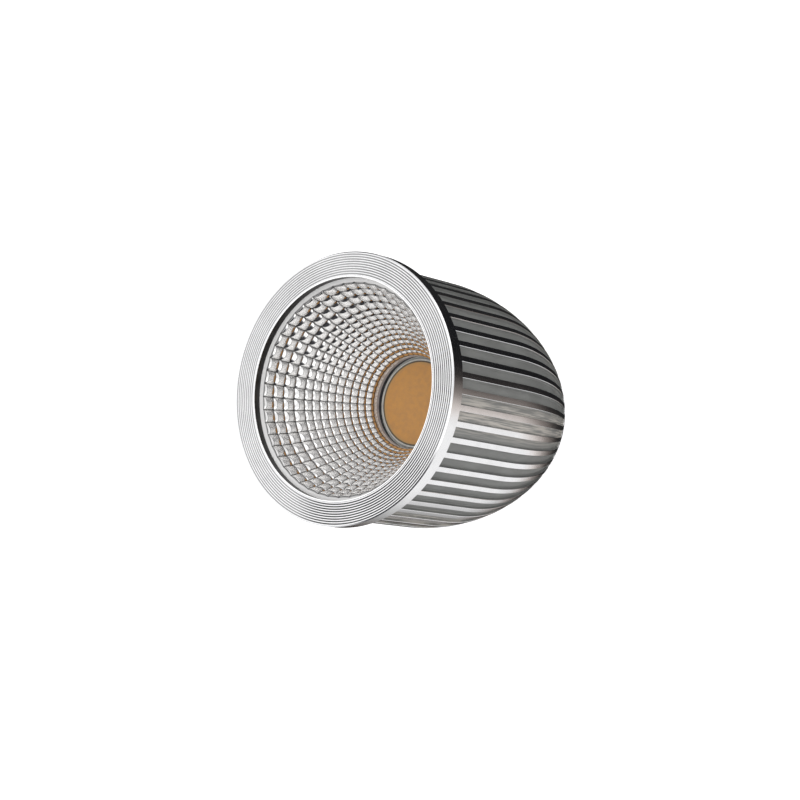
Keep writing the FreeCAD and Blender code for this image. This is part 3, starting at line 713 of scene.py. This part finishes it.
flute_end = travel_to(FLUTE_END_HEIGHT)
mill_radius = outline(flute_end, FLUTE_DEPTH)[0] * math.sin(flute_half_angle)
tail_corner = travel_to(TAIL_EDGE_CHAMFER)


def flute_half_width(travel):
    """Half the flute's width as an angle: constant, then a half round down to nothing."""
    past = travel - flute_end
    if past <= 0:
        return flute_half_angle
    chord = math.sqrt(max(0.0, mill_radius ** 2 - past ** 2))
    return math.asin(chord / outline(travel, FLUTE_DEPTH)[0])


# %% [markdown]
# The stations are close together where the form bends and far apart where it is straight. Along the half
# round they follow the cosine of an angle, which spaces them evenly around the curve.

# %% One flute and its lands
STRAIGHT_STATIONS = 4
ARC_STATIONS = 26
TIP_STATIONS = 7
FLOOR_COLUMNS = 4
LAND_POINTS = 3
RIM_STATIONS = 4


def spaced(start, end, count):
    """Evenly spaced values from start up to, but not with, end."""
    return [start + (end - start) * i / count for i in range(count)]


def flute_stations():
    """Distances down the outside, from the rim to the flute's tip."""
    straight = spaced(0, STRAIGHT_STRETCH, STRAIGHT_STATIONS)
    arc = spaced(STRAIGHT_STRETCH, flute_end, ARC_STATIONS)
    turns = [math.pi / 2 * i / TIP_STATIONS for i in range(TIP_STATIONS + 1)]
    return straight + arc + [flute_end + mill_radius * math.sin(turn) for turn in turns]


def flute_columns(travel):
    """(angle, inset) of each point across the sector, from the middle of one land to the next."""
    r = outline(travel, 0)[0]
    half = flute_half_width(travel)
    edge = half + EDGE_BREAK / r
    land_end = sector_angle / 2
    foot = half * max(0.0, 1 - FLOOR_FILLET / r / flute_half_angle)
    side = [
        (land_end, 0),
        ((land_end + edge) / 2, 0),
        (edge, 0),
        (half, EDGE_BREAK),
        (half, FLUTE_DEPTH - FLOOR_FILLET),
        (foot, FLUTE_DEPTH),
    ]
    floor = [(foot * (2 * i / FLOOR_COLUMNS - 1), FLUTE_DEPTH) for i in range(1, FLOOR_COLUMNS)]
    return [(-angle, inset) for angle, inset in side] + floor + side[::-1]


def sector_point(r, z, angle):
    return (r * math.cos(angle), r * math.sin(angle), z)


def join_rows(work, row, following, marks=None):
    """Faces between two rows with as many points; a face is marked by its column."""
    layer = work.faces.layers.bool["marked"]
    for i in range(len(row) - 1):
        corners = list(dict.fromkeys((row[i], row[i + 1], following[i + 1], following[i])))
        if len(corners) > 2 and work.faces.get(corners) is None:
            work.faces.new(corners)[layer] = bool(marks and marks[i])


# %% [markdown]
# Inside, the body is a plain turned form: the thread for the ring, the pocket and seat of the light
# source, the web, the driver's bore with the groove for the cap's hooks, and the recess of the cap.
# Five points across the sector are enough there.

# %% The bores and the whole sector
THREAD_CLEARANCE = 0.05 * MM
SPIGOT_END_GAP = 0.3 * MM
BORE_FRONT_STEP = 1.4 * MM
HOLDER_POCKET_GAP = 0.4 * MM
HOLDER_POCKET_HEIGHT = 5.3 * MM
TUBE_FIT = 0.1 * MM
CAP_FIT = 0.12 * MM
CAP_RECESS_DEPTH = 1.45 * MM
SNAP_HEIGHT = 3.9 * MM
SNAP_HOOK = 0.45 * MM
SNAP_HOOK_HEIGHT = 1.0 * MM
SNAP_GROOVE_PLAY = 0.15 * MM
LEAD_RELIEF_MARGIN = 0.7 * MM
PLAIN_POINTS = 5

thread_radius = spigot_radius + THREAD_CLEARANCE
thread_end_z = spigot_end_z - SPIGOT_END_GAP
pocket_radius = reach("led_holder") + HOLDER_POCKET_GAP
driver_bore_radius = reach("driver_tube") + TUBE_FIT
hook_bore_radius = driver_bore_radius + SNAP_HOOK + CAP_FIT
recess_radius = reach("rear_cap") + CAP_FIT
sleeve_low, sleeve_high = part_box("lead_sleeve")
lead_relief_radius = sleeve_high.y + LEAD_RELIEF_MARGIN
hook_groove_low = CAP_RECESS_DEPTH + SNAP_HEIGHT - SNAP_HOOK_HEIGHT - SNAP_GROOVE_PLAY
hook_groove_high = CAP_RECESS_DEPTH + SNAP_HEIGHT + SNAP_GROOVE_PLAY

FRONT_BORE = [
    (thread_radius, rim_back_z),
    (thread_radius, thread_end_z),
    (thread_radius - BORE_FRONT_STEP, thread_end_z),
    (pocket_radius, seat_z + HOLDER_POCKET_HEIGHT),
    (pocket_radius, seat_z),
    (0, seat_z),
]
REAR_BORE = [
    (tail_radius - TAIL_EDGE_CHAMFER, 0),
    (recess_radius, 0),
    (recess_radius, CAP_RECESS_DEPTH),
    (driver_bore_radius, CAP_RECESS_DEPTH),
    (driver_bore_radius, hook_groove_low),
    (hook_bore_radius, hook_groove_low),
    (hook_bore_radius, hook_groove_high),
    (driver_bore_radius, hook_groove_high),
    (driver_bore_radius, tube_top_z),
    (lead_relief_radius, tube_top_z),
    (lead_relief_radius, web_bottom_z),
    (0, web_bottom_z),
]


def plain_row(work, r, z):
    """Evenly spaced points across the sector, or the pole's one."""
    if r < AXIS_POINT:
        return [work.verts.new((0, 0, z))] * PLAIN_POINTS
    turns = [sector_angle * (i / (PLAIN_POINTS - 1) - 0.5) for i in range(PLAIN_POINTS)]
    return [work.verts.new(sector_point(r, z, turn)) for turn in turns]


def body_sector():
    work = bmesh.new()
    work.faces.layers.bool.new("marked")
    rows = []
    for travel in flute_stations():
        points = [(*outline(travel, inset), angle) for angle, inset in flute_columns(travel)]
        rows.append([work.verts.new(sector_point(*point)) for point in points])
    columns = len(rows[0])
    in_flute = [LAND_POINTS <= i < columns - LAND_POINTS - 1 for i in range(columns - 1)]
    for row, following in zip(rows, rows[1:]):
        join_rows(work, row, following, in_flute)
    tip = rows[-1]
    past_tip = flute_end + mill_radius + EDGE_BREAK
    rim_travels = spaced(past_tip, tail_corner, RIM_STATIONS)
    rim_rows = [plain_row(work, *outline(travel, 0)) for travel in rim_travels]
    first = rim_rows[0]
    centre = first[PLAIN_POINTS // 2]
    join_rows(work, tip[:LAND_POINTS], first[:LAND_POINTS])
    join_rows(work, tip[LAND_POINTS - 1:LAND_POINTS + 1], [centre, centre])
    join_rows(work, tip[-LAND_POINTS - 1:-LAND_POINTS + 1], [centre, centre])
    join_rows(work, tip[-LAND_POINTS:], first[-LAND_POINTS:])
    rim_rows.append(plain_row(work, *outline(tail_corner, 0)))
    rim_rows += [plain_row(work, r, z) for r, z in REAR_BORE]
    for row, following in zip(rim_rows, rim_rows[1:]):
        join_rows(work, row, following)
    bore_rows = [plain_row(work, r, z) for r, z in FRONT_BORE]
    work.faces.new(rows[0] + bore_rows[0][::-1])
    for row, following in zip(bore_rows, bore_rows[1:]):
        join_rows(work, row, following)
    bmesh.ops.remove_doubles(work, verts=work.verts, dist=WELD_DISTANCE)
    return work


sector = body_sector()
print("one sector:", len(sector.faces), "faces")

# %% [markdown]
# The holes through and into the web aren't part of the pattern: the leads' hole, and two tapped ones for
# the holder's screws. They are drilled afterwards with a Boolean, as they are in the workshop.

# %% The body
SLEEVE_FIT = 0.05 * MM
SCREW_BITE = 3.5 * MM
SCREW_RADIUS = 1.0 * MM
HOLE_SEGMENTS = 32
OVERCUT = 0.2 * MM
BODY_SHARP_DEGREES = 30


def face_outwards(mesh):
    """Drops faces without area and turns every face's normal outwards."""
    work = bmesh.new()
    work.from_mesh(mesh)
    bmesh.ops.dissolve_degenerate(work, dist=WELD_DISTANCE, edges=work.edges)
    bmesh.ops.recalc_face_normals(work, faces=work.faces)
    work.to_mesh(mesh)
    work.free()
    return mesh


def drill(mesh, holes):
    """The mesh with upright holes, given as (x, y, radius, bottom, top)."""
    work = bmesh.new()
    for x, y, radius, bottom, top in holes:
        place = Matrix.Translation((x, y, (bottom + top) / 2))
        size = {"radius1": radius, "radius2": radius, "depth": top - bottom}
        bmesh.ops.create_cone(work, cap_ends=True, segments=HOLE_SEGMENTS, matrix=place, **size)
    tools = bpy.data.objects.new("drills", bpy.data.meshes.new("drills"))
    work.to_mesh(tools.data)
    work.free()
    blank = bpy.data.objects.new("blank", mesh)
    for item in (tools, blank):
        bpy.context.scene.collection.objects.link(item)
    cut = blank.modifiers.new("holes", "BOOLEAN")
    cut.operation = "DIFFERENCE"
    cut.object = tools
    bpy.context.view_layer.update()
    drilled = bpy.data.meshes.new_from_object(blank.evaluated_get(bpy.context.evaluated_depsgraph_get()))
    for item in (tools, blank):
        bpy.data.objects.remove(item)
    return drilled


screw_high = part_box("holder_screws")[1]
screw_head_radius = screw_high.y
screw_x = screw_high.x - screw_head_radius
lead_hole = (0, (sleeve_low.y + sleeve_high.y) / 2, sleeve_high.x + SLEEVE_FIT)
body_mesh = repeated("heat_sink_fluted", sector, FLUTE_COUNT, turned_side, cast_grey, BODY_SHARP_DEGREES)
body_mesh = face_outwards(body_mesh)
body_mesh = drill(body_mesh, [
    (*lead_hole, web_bottom_z - OVERCUT, seat_z + OVERCUT),
    (screw_x, 0, SCREW_RADIUS, seat_z - SCREW_BITE, seat_z + OVERCUT),
    (-screw_x, 0, SCREW_RADIUS, seat_z - SCREW_BITE, seat_z + OVERCUT),
])
shade(body_mesh, BODY_SHARP_DEGREES)
finished_piece("heat_sink_fluted", body_mesh, "fluted_aluminium", "heat_sink")

# %% [markdown]
# ## The mirror cup
# The cup's inside follows a short arc at the mouth and then a straight cone. Thirteen rows of fifty
# facets cover it. On the real cup each facet is a little cushion that bulges inwards, so each shows its
# own small picture of the room, and dark creases run between them. A cushion's height is that of two
# crossed arches, one across and one along; neighbours share the arch over their common edge, so the
# skin stays closed. The points stand closer together near the edges, where the creases are, and the
# crease is wider at a facet's lower edge than at its upper one. Shade is painted along the creases.

# %% The cup's curve
REFLECTOR_WALL = 1.1 * MM
REFLECTOR_FLANGE = 1.2 * MM
REFLECTOR_RIM_STEP = 0.7 * MM
MOUTH_STEEPER = 13.2
CONE_FLATTER = 2.2
FACET_COLUMNS = 50
FRONT_ROWS = 4
CONE_ROWS = 9
FRONT_ROW_STRETCH = 1.38
DAM_TO_REFLECTOR = 0.25 * MM
FACET_NECK_STEP = 0.2 * MM

facet_front_radius = mouth_radius - REFLECTOR_RIM_STEP
neck_radius = dam_radius + DAM_TO_REFLECTOR
facet_end_radius = neck_radius + FACET_NECK_STEP
fall = reflector_top_z - facets_end_z
narrowing = facet_front_radius - facet_end_radius
chord_angle = math.atan2(narrowing, fall)
mouth_angle = chord_angle - math.radians(MOUTH_STEEPER)
cone_angle = chord_angle + math.radians(CONE_FLATTER)
arc_fall = math.sin(cone_angle) - math.sin(mouth_angle)
arc_in = math.cos(mouth_angle) - math.cos(cone_angle)
area = arc_fall * math.sin(cone_angle) - arc_in * math.cos(cone_angle)
curve_radius = (fall * math.sin(cone_angle) - narrowing * math.cos(cone_angle)) / area
cone_length = (arc_fall * narrowing - arc_in * fall) / area
curve_length = curve_radius * (cone_angle - mouth_angle)
print("mouth %.1f degrees, cone %.1f degrees" % (math.degrees(mouth_angle), math.degrees(cone_angle)))


def cup_point(along, offset=0.0):
    """Radius and height on the cup's inner curve, some way down from the mouth and some way outside."""
    turn = mouth_angle + min(along, curve_length) / curve_radius
    past = max(0.0, along - curve_length)
    r = facet_front_radius - curve_radius * math.cos(mouth_angle)
    z = reflector_top_z + curve_radius * math.sin(mouth_angle)
    r += (curve_radius + offset) * math.cos(turn) - past * math.sin(cone_angle)
    z -= (curve_radius + offset) * math.sin(turn) + past * math.cos(cone_angle)
    return r, z


def facet_levels():
    """Distances along the curve of the rings between the rows."""
    step = (curve_length + cone_length) / (FRONT_ROWS * FRONT_ROW_STRETCH + CONE_ROWS)
    front = [i * step * FRONT_ROW_STRETCH for i in range(FRONT_ROWS + 1)]
    return front + [front[-1] + (i + 1) * step for i in range(CONE_ROWS)]


# %% The cushions
CUSHION_SHARES = [0, 0.065, 0.175, 0.325, 0.5, 0.675, 0.825, 0.935, 1]
CREASE_SHADE_ACROSS = [1, 0.24, 0, 0, 0, 0, 0, 0.24, 1]
CREASE_SHADE_DOWN = [1, 0.16, 0, 0, 0, 0, 0.12, 0.48, 1]
CUSHION_SLOPE_ACROSS = 0.5
CUSHION_SLOPE_DOWN = 0.36
UPPER_STEEPNESS = 0.35
LOWER_STEEPNESS = 0.2
facet_angle = 2 * math.pi / FACET_COLUMNS


def arch(share, steepness=UPPER_STEEPNESS):
    """1 in the middle of a facet and 0 at its ends, with a flat middle and steep shoulders."""
    u = 2 * share - 1
    return 1 - (1 - steepness) * u ** 2 - steepness * u ** 6


def cushion_point(upper, lower, across, down):
    """A point on the cushion between two rings, given its shares across and down the facet."""
    (r0, z0), (r1, z1) = cup_point(upper), cup_point(lower)
    turn = facet_angle / 2
    r = r0 + (r1 - r0) * down
    z = z0 + (z1 - z0) * down
    side = r * math.sin(turn) * (2 * across - 1)
    chord = r * math.cos(turn)
    length = math.hypot(r1 - r0, z1 - z0)
    inwards = ((z1 - z0) / length, (r0 - r1) / length)
    height = CUSHION_SLOPE_ACROSS / 2 * r * math.sin(turn) * arch(across)
    steepness = UPPER_STEEPNESS if down < 0.5 else LOWER_STEEPNESS
    height += CUSHION_SLOPE_DOWN / 2 * length / 2 * arch(down, steepness)
    return (chord + inwards[0] * height, side, z + inwards[1] * height)


def cushion_rows():
    """Points of all the cushions of one column, row by row down the cup."""
    levels = facet_levels()
    shares = CUSHION_SHARES
    rows = [[cushion_point(levels[0], levels[1], share, 0) for share in shares]]
    for upper, lower in zip(levels, levels[1:]):
        rows += [[cushion_point(upper, lower, share, down) for share in shares] for down in shares[1:]]
    return rows


# %% [markdown]
# Behind the mirror lie the neck, which stands on the holder, the outer wall, and the flange that the lip
# of the ring presses on. They are plain turned forms and share the cushions' columns. A small bead runs
# under the last row, with shade painted on it, and the foot of the neck is bare plastic.

# %% The cup
NECK_BEAD = 0.14 * MM
RIM_LINE = 0.07 * MM
BEAD_SHADE = 0.4
BARE_LENGTH = 0.72 * MM
WALL_STEPS = 12
CUP_SHARP_DEGREES = 14

neck_outside = neck_radius + REFLECTOR_WALL
bare_from_z = holder_top_z + BARE_LENGTH
bare_plastic = moulded("bare_plastic", srgb(168, 165, 168), 0.45)


def cup_sector():
    work = bmesh.new()
    marked = work.faces.layers.bool.new("marked")
    crease = work.verts.layers.float.new("crease")

    def turned_row(r, z):
        turns = [facet_angle * (share - 0.5) for share in CUSHION_SHARES]
        return [work.verts.new(sector_point(r, z, turn)) for turn in turns]

    rows = [[work.verts.new(point) for point in row] for row in cushion_rows()]
    steps = len(CUSHION_SHARES) - 1
    for i, row in enumerate(rows):
        for j, vert in enumerate(row):
            # Each corner gets its share of painted crease shade.
            vert[crease] = max(CREASE_SHADE_DOWN[i % steps], CREASE_SHADE_ACROSS[j % steps])
    total = curve_length + cone_length
    wall = [cup_point(total * (1 - i / WALL_STEPS), REFLECTOR_WALL) for i in range(WALL_STEPS)]
    flange_back_z = reflector_top_z - REFLECTOR_FLANGE
    outside = [(r, z) for r, z in wall if z < flange_back_z - REFLECTOR_WALL / 2]
    wall_top = cup_point(REFLECTOR_FLANGE / math.cos(mouth_angle), REFLECTOR_WALL)
    turned = [
        (facet_end_radius - NECK_BEAD, facets_end_z - NECK_BEAD),
        (neck_radius, bare_from_z),
        (neck_radius, holder_top_z),
        (neck_outside, holder_top_z),
        (neck_outside, outside[0][1] - REFLECTOR_WALL / 2),
        *outside,
        (wall_top[0], flange_back_z),
        (flange_radius, flange_back_z),
        (flange_radius, reflector_top_z),
        (facet_front_radius + RIM_LINE, reflector_top_z),
    ]
    rows += [turned_row(r, z) for r, z in turned]
    # The bead under the last row gets painted shade too.
    for vert in rows[-len(turned)]:
        vert[crease] = BEAD_SHADE
    for row, following in zip(rows, rows[1:] + rows[:1]):
        join_rows(work, row, following)
    for face in work.faces:
        face[marked] = face.calc_center_median().z < bare_from_z
    corners_at_start = Matrix.Rotation(facet_angle / 2, 3, "Z")
    bmesh.ops.rotate(work, verts=work.verts, matrix=corners_at_start)
    return work


mirror = SLOT_FINISHES["mirror_coating"]
cup_mesh = repeated(
    "reflector_cushioned", cup_sector(), FACET_COLUMNS, mirror, bare_plastic, CUP_SHARP_DEGREES)
cup_mesh = face_outwards(cup_mesh)
shade(cup_mesh, CUP_SHARP_DEGREES)
finished_piece("reflector_cushioned", cup_mesh, "mirror_coating", "reflector")

# %% [markdown]
# ## The light source
# The phosphor disc lies a little lower than the pale silicone dam around it. Its surface creeps up the
# dam at the edge, as any liquid does before it cures.

# %% Phosphor, dam and gasket
MENISCUS_WIDTH = 0.35 * MM
MENISCUS_HEIGHT = 0.08 * MM
DAM_ROUNDING = 0.18 * MM
SOURCE_SEGMENTS = 180
GASKET_SEGMENTS = 240

phosphor_section = [
    (0, board_top_z),
    (phosphor_radius, board_top_z),
    (phosphor_radius, phosphor_top_z + MENISCUS_HEIGHT),
    (phosphor_radius - MENISCUS_WIDTH / 3, phosphor_top_z + MENISCUS_HEIGHT / 3),
    (phosphor_radius - MENISCUS_WIDTH, phosphor_top_z),
    (0, phosphor_top_z),
]
turned_piece("led_phosphor_disc", phosphor_section, SOURCE_SEGMENTS, "phosphor", "led_phosphor", 40)

dam_inner = (phosphor_radius, dam_top_z)
dam_outer = (dam_radius, dam_top_z)
dam_foot = (dam_radius, board_top_z)
dam_section = [
    (phosphor_radius, board_top_z),
    dam_foot,
    *rounded(dam_outer, dam_foot, dam_inner, DAM_ROUNDING)[:-1],
    *rounded(dam_inner, dam_outer, (phosphor_radius, board_top_z), DAM_ROUNDING),
]
turned_piece("led_dam_ring", dam_section, SOURCE_SEGMENTS, "dam_silicone", "led_dam", 60)

gasket_section = [
    (mouth_radius + LIP_CHAMFER, reflector_top_z),
    (flange_radius, reflector_top_z),
    (flange_radius, lip_back_z),
    (mouth_radius + LIP_CHAMFER, lip_back_z),
]
turned_piece(
    "reflector_gasket_ring", gasket_section, GASKET_SEGMENTS, "gasket_silicone", "reflector_gasket")

# %% [markdown]
# ## Finishes for what stays as it came
# Every other node keeps its shape from the frame. The record says which slot each node belongs to, so a
# short loop hands out the finishes.

# %% Handing out the finishes
for subpart in frame["record"]["subparts"]:
    node = frame["nodes"][subpart["node"]]
    node.data.materials.clear()
    node.data.materials.append(SLOT_FINISHES[subpart["material_slot"]])

# %% [markdown]
# ## Studio
# The lamp stands on a plain pale floor. Polished metal shows what is around it, so the room matters as
# much as the metal. The room is the world itself, painted by direction. Steeply below, it goes from white
# on one side to black on the other, which gives the turned surfaces their black. Everywhere else it is
# nearly white, with three brighter lamps and two dark shades. To the camera it is plain white. The floor
# and the softbox are left out of reflections, so that the metal shows only the painted room.

# %% Floor and room
FLOOR_SIZE = 6.0
FLOOR_COLOUR = (0.9, 0.9, 0.9)
FLOOR_LIFT = 0.45


def floor_material():
    material = bpy.data.materials.new("pale_floor")
    material.use_nodes = True
    nodes = Nodes(material.node_tree)
    pale = nodes.add("ShaderNodeBsdfDiffuse", values={"Color": rgba(FLOOR_COLOUR)})
    seen = nodes.add("ShaderNodeLightPath", out="Is Camera Ray")
    glow = nodes.add("ShaderNodeEmission", values={"Color": (1, 1, 1, 1), "Strength": seen * FLOOR_LIFT})
    both = nodes.add("ShaderNodeAddShader", values={0: pale, 1: glow})
    material.node_tree.links.new(both.socket, material.node_tree.nodes["Material Output"].inputs["Surface"])
    return material


floor_mesh = bpy.data.meshes.new("floor")
half = FLOOR_SIZE / 2
floor_corners = [(-half, -half, 0), (half, -half, 0), (half, half, 0), (-half, half, 0)]
floor_mesh.from_pydata(floor_corners, [], [(0, 1, 2, 3)])
floor_mesh.materials.append(floor_material())
floor = bpy.data.objects.new("floor", floor_mesh)
bpy.context.scene.collection.objects.link(floor)
floor.visible_glossy = False

# %% The painted room
FRONT_SHADE = (0.3, -0.85, 0.43)
SIDE_SHADE = (-0.816, 0.542, 0.203)
CEILING_LAMP = (0.3, 0.66, 0.69)
FRONT_LAMP = (0.85, -0.25, 0.46)
FACE_LAMP = (-0.52, 0.0, 0.854)
ROOM_WHITE = (0.93, 0.93, 0.94)
LAMP_WHITE = (1.7, 1.7, 1.7)
FACE_LAMP_WHITE = (1.42, 1.42, 1.42)
SHADE_BLACK = (0.05, 0.05, 0.055)
LOWER_BLACK = (0.02, 0.02, 0.02)


def room():
    """The world by direction: white falling to black steeply below, and nearly white elsewhere, with
    three lamps and two shades."""
    world = bpy.data.worlds.new("studio")
    bpy.context.scene.world = world
    world.use_nodes = True
    nodes = Nodes(world.node_tree)
    direction = nodes.add("ShaderNodeTexCoord", out="Generated")
    x = nodes.add("ShaderNodeSeparateXYZ", values={"Vector": direction}, out="X")
    y, z = nodes.part(x, "Y"), nodes.part(x, "Z")
    stops = [
        (0.15, (1.0, 1.0, 1.0)),
        (0.22, (0.83, 0.76, 0.72)),
        (0.37, (0.27, 0.235, 0.215)),
        (0.54, (0.034, 0.03, 0.029)),
        (0.68, (0.011, 0.011, 0.012)),
    ]
    across = nodes.add("ShaderNodeValToRGB", {"stops": stops}, {"Fac": y - x * 0.5 + 0.5})
    lower = nodes.mix((0 - x).ramp(-0.2, 0.4) * 0.68, across, LOWER_BLACK)

    def towards(place, start, end):
        """0 away from a place in the room and 1 close to it, by the cosine of the angle between."""
        values = {0: direction, 1: place}
        facing = nodes.add("ShaderNodeVectorMath", {"operation": "DOT_PRODUCT"}, values, out="Value")
        return facing.ramp(start, end)

    lamps = towards(CEILING_LAMP, 0.88, 0.95) + towards(FRONT_LAMP, 0.9, 0.96)
    white = nodes.mix(towards(FACE_LAMP, 0.92, 0.985), ROOM_WHITE, FACE_LAMP_WHITE)
    lit = nodes.mix(lamps, white, LAMP_WHITE)
    shaded = towards(FRONT_SHADE, 0.72, 0.92) + towards(SIDE_SHADE, 0.84, 0.94)
    upper = nodes.mix(shaded.at_most(1), lit, SHADE_BLACK)
    toned = nodes.mix(z.ramp(-0.65, -0.45), lower, upper)
    seen = nodes.add("ShaderNodeLightPath", out="Is Camera Ray")
    colour = nodes.mix(seen, toned, (1, 1, 1))
    background = world.node_tree.nodes["Background"]
    world.node_tree.links.new(colour.socket, background.inputs["Color"])
    background.inputs["Strength"].default_value = 1.0


room()


def softbox(name, place, size, watts):
    """A square area light that looks at the lamp."""
    light = bpy.data.lights.new(name, "AREA")
    light.size = size
    light.energy = watts
    lamp = bpy.data.objects.new(name, light)
    lamp.location = place
    lamp.rotation_mode = "QUATERNION"
    lamp.visible_glossy = False
    lamp.rotation_quaternion = (Vector(place) - Vector((0, 0, face_z / 2))).to_track_quat("Z", "Y")
    bpy.context.scene.collection.objects.link(lamp)


softbox("key_softbox", (0.55, -0.25, 0.75), 0.5, 2.2)
print("floor, room and softbox ready")

# %% [markdown]
# ## Camera
# The camera looks at the lamp from above and from the +X side, rolled so that the lamp's axis lies almost
# level in the picture. Its tilt, roll and focal length were found by unrolling the picture of the front
# ring until its grooves came out sharp and straight, at the best of several distances. A small turn about
# the axis brings the flutes to where they are seen.

# %% Camera
PICTURE_SIDE = 800
FOCAL_PIXELS = 2208.1
SENSOR_WIDTH = 36.0
FACE_CENTRE_PIXEL = (340.4, 388.3)
FACE_DEPTH = 398.09 * MM
VIEW_TILT = math.radians(37.45)
VIEW_ROLL = math.radians(10.85)
VIEW_TURN = math.radians(2.05)

right = Vector((
    math.cos(VIEW_ROLL) * math.cos(VIEW_TILT),
    math.sin(VIEW_ROLL),
    -math.cos(VIEW_ROLL) * math.sin(VIEW_TILT),
))
up = Vector((
    -math.sin(VIEW_ROLL) * math.cos(VIEW_TILT),
    math.cos(VIEW_ROLL),
    math.sin(VIEW_ROLL) * math.sin(VIEW_TILT),
))
back = right.cross(up)
shift_right = (FACE_CENTRE_PIXEL[0] - PICTURE_SIDE / 2) / FOCAL_PIXELS * FACE_DEPTH
shift_down = (FACE_CENTRE_PIXEL[1] - PICTURE_SIDE / 2) / FOCAL_PIXELS * FACE_DEPTH
camera_data = bpy.data.cameras.new("camera")
camera_data.sensor_width = SENSOR_WIDTH
camera_data.lens = SENSOR_WIDTH * FOCAL_PIXELS / PICTURE_SIDE
camera_data.clip_start = 0.01
camera = bpy.data.objects.new("camera", camera_data)
turned_axes = Matrix((right, up, back)).transposed()
camera_place = Vector((0, 0, face_z)) - right * shift_right + up * shift_down + back * FACE_DEPTH
from_the_side = Matrix.Translation(camera_place) @ turned_axes.to_4x4()
camera.matrix_world = Matrix.Rotation(VIEW_TURN, 4, "Z") @ from_the_side
bpy.context.scene.collection.objects.link(camera)
bpy.context.scene.camera = camera
bpy.context.scene.view_settings.view_transform = "Standard"
print("camera at", [round(c, 4) for c in camera.location])
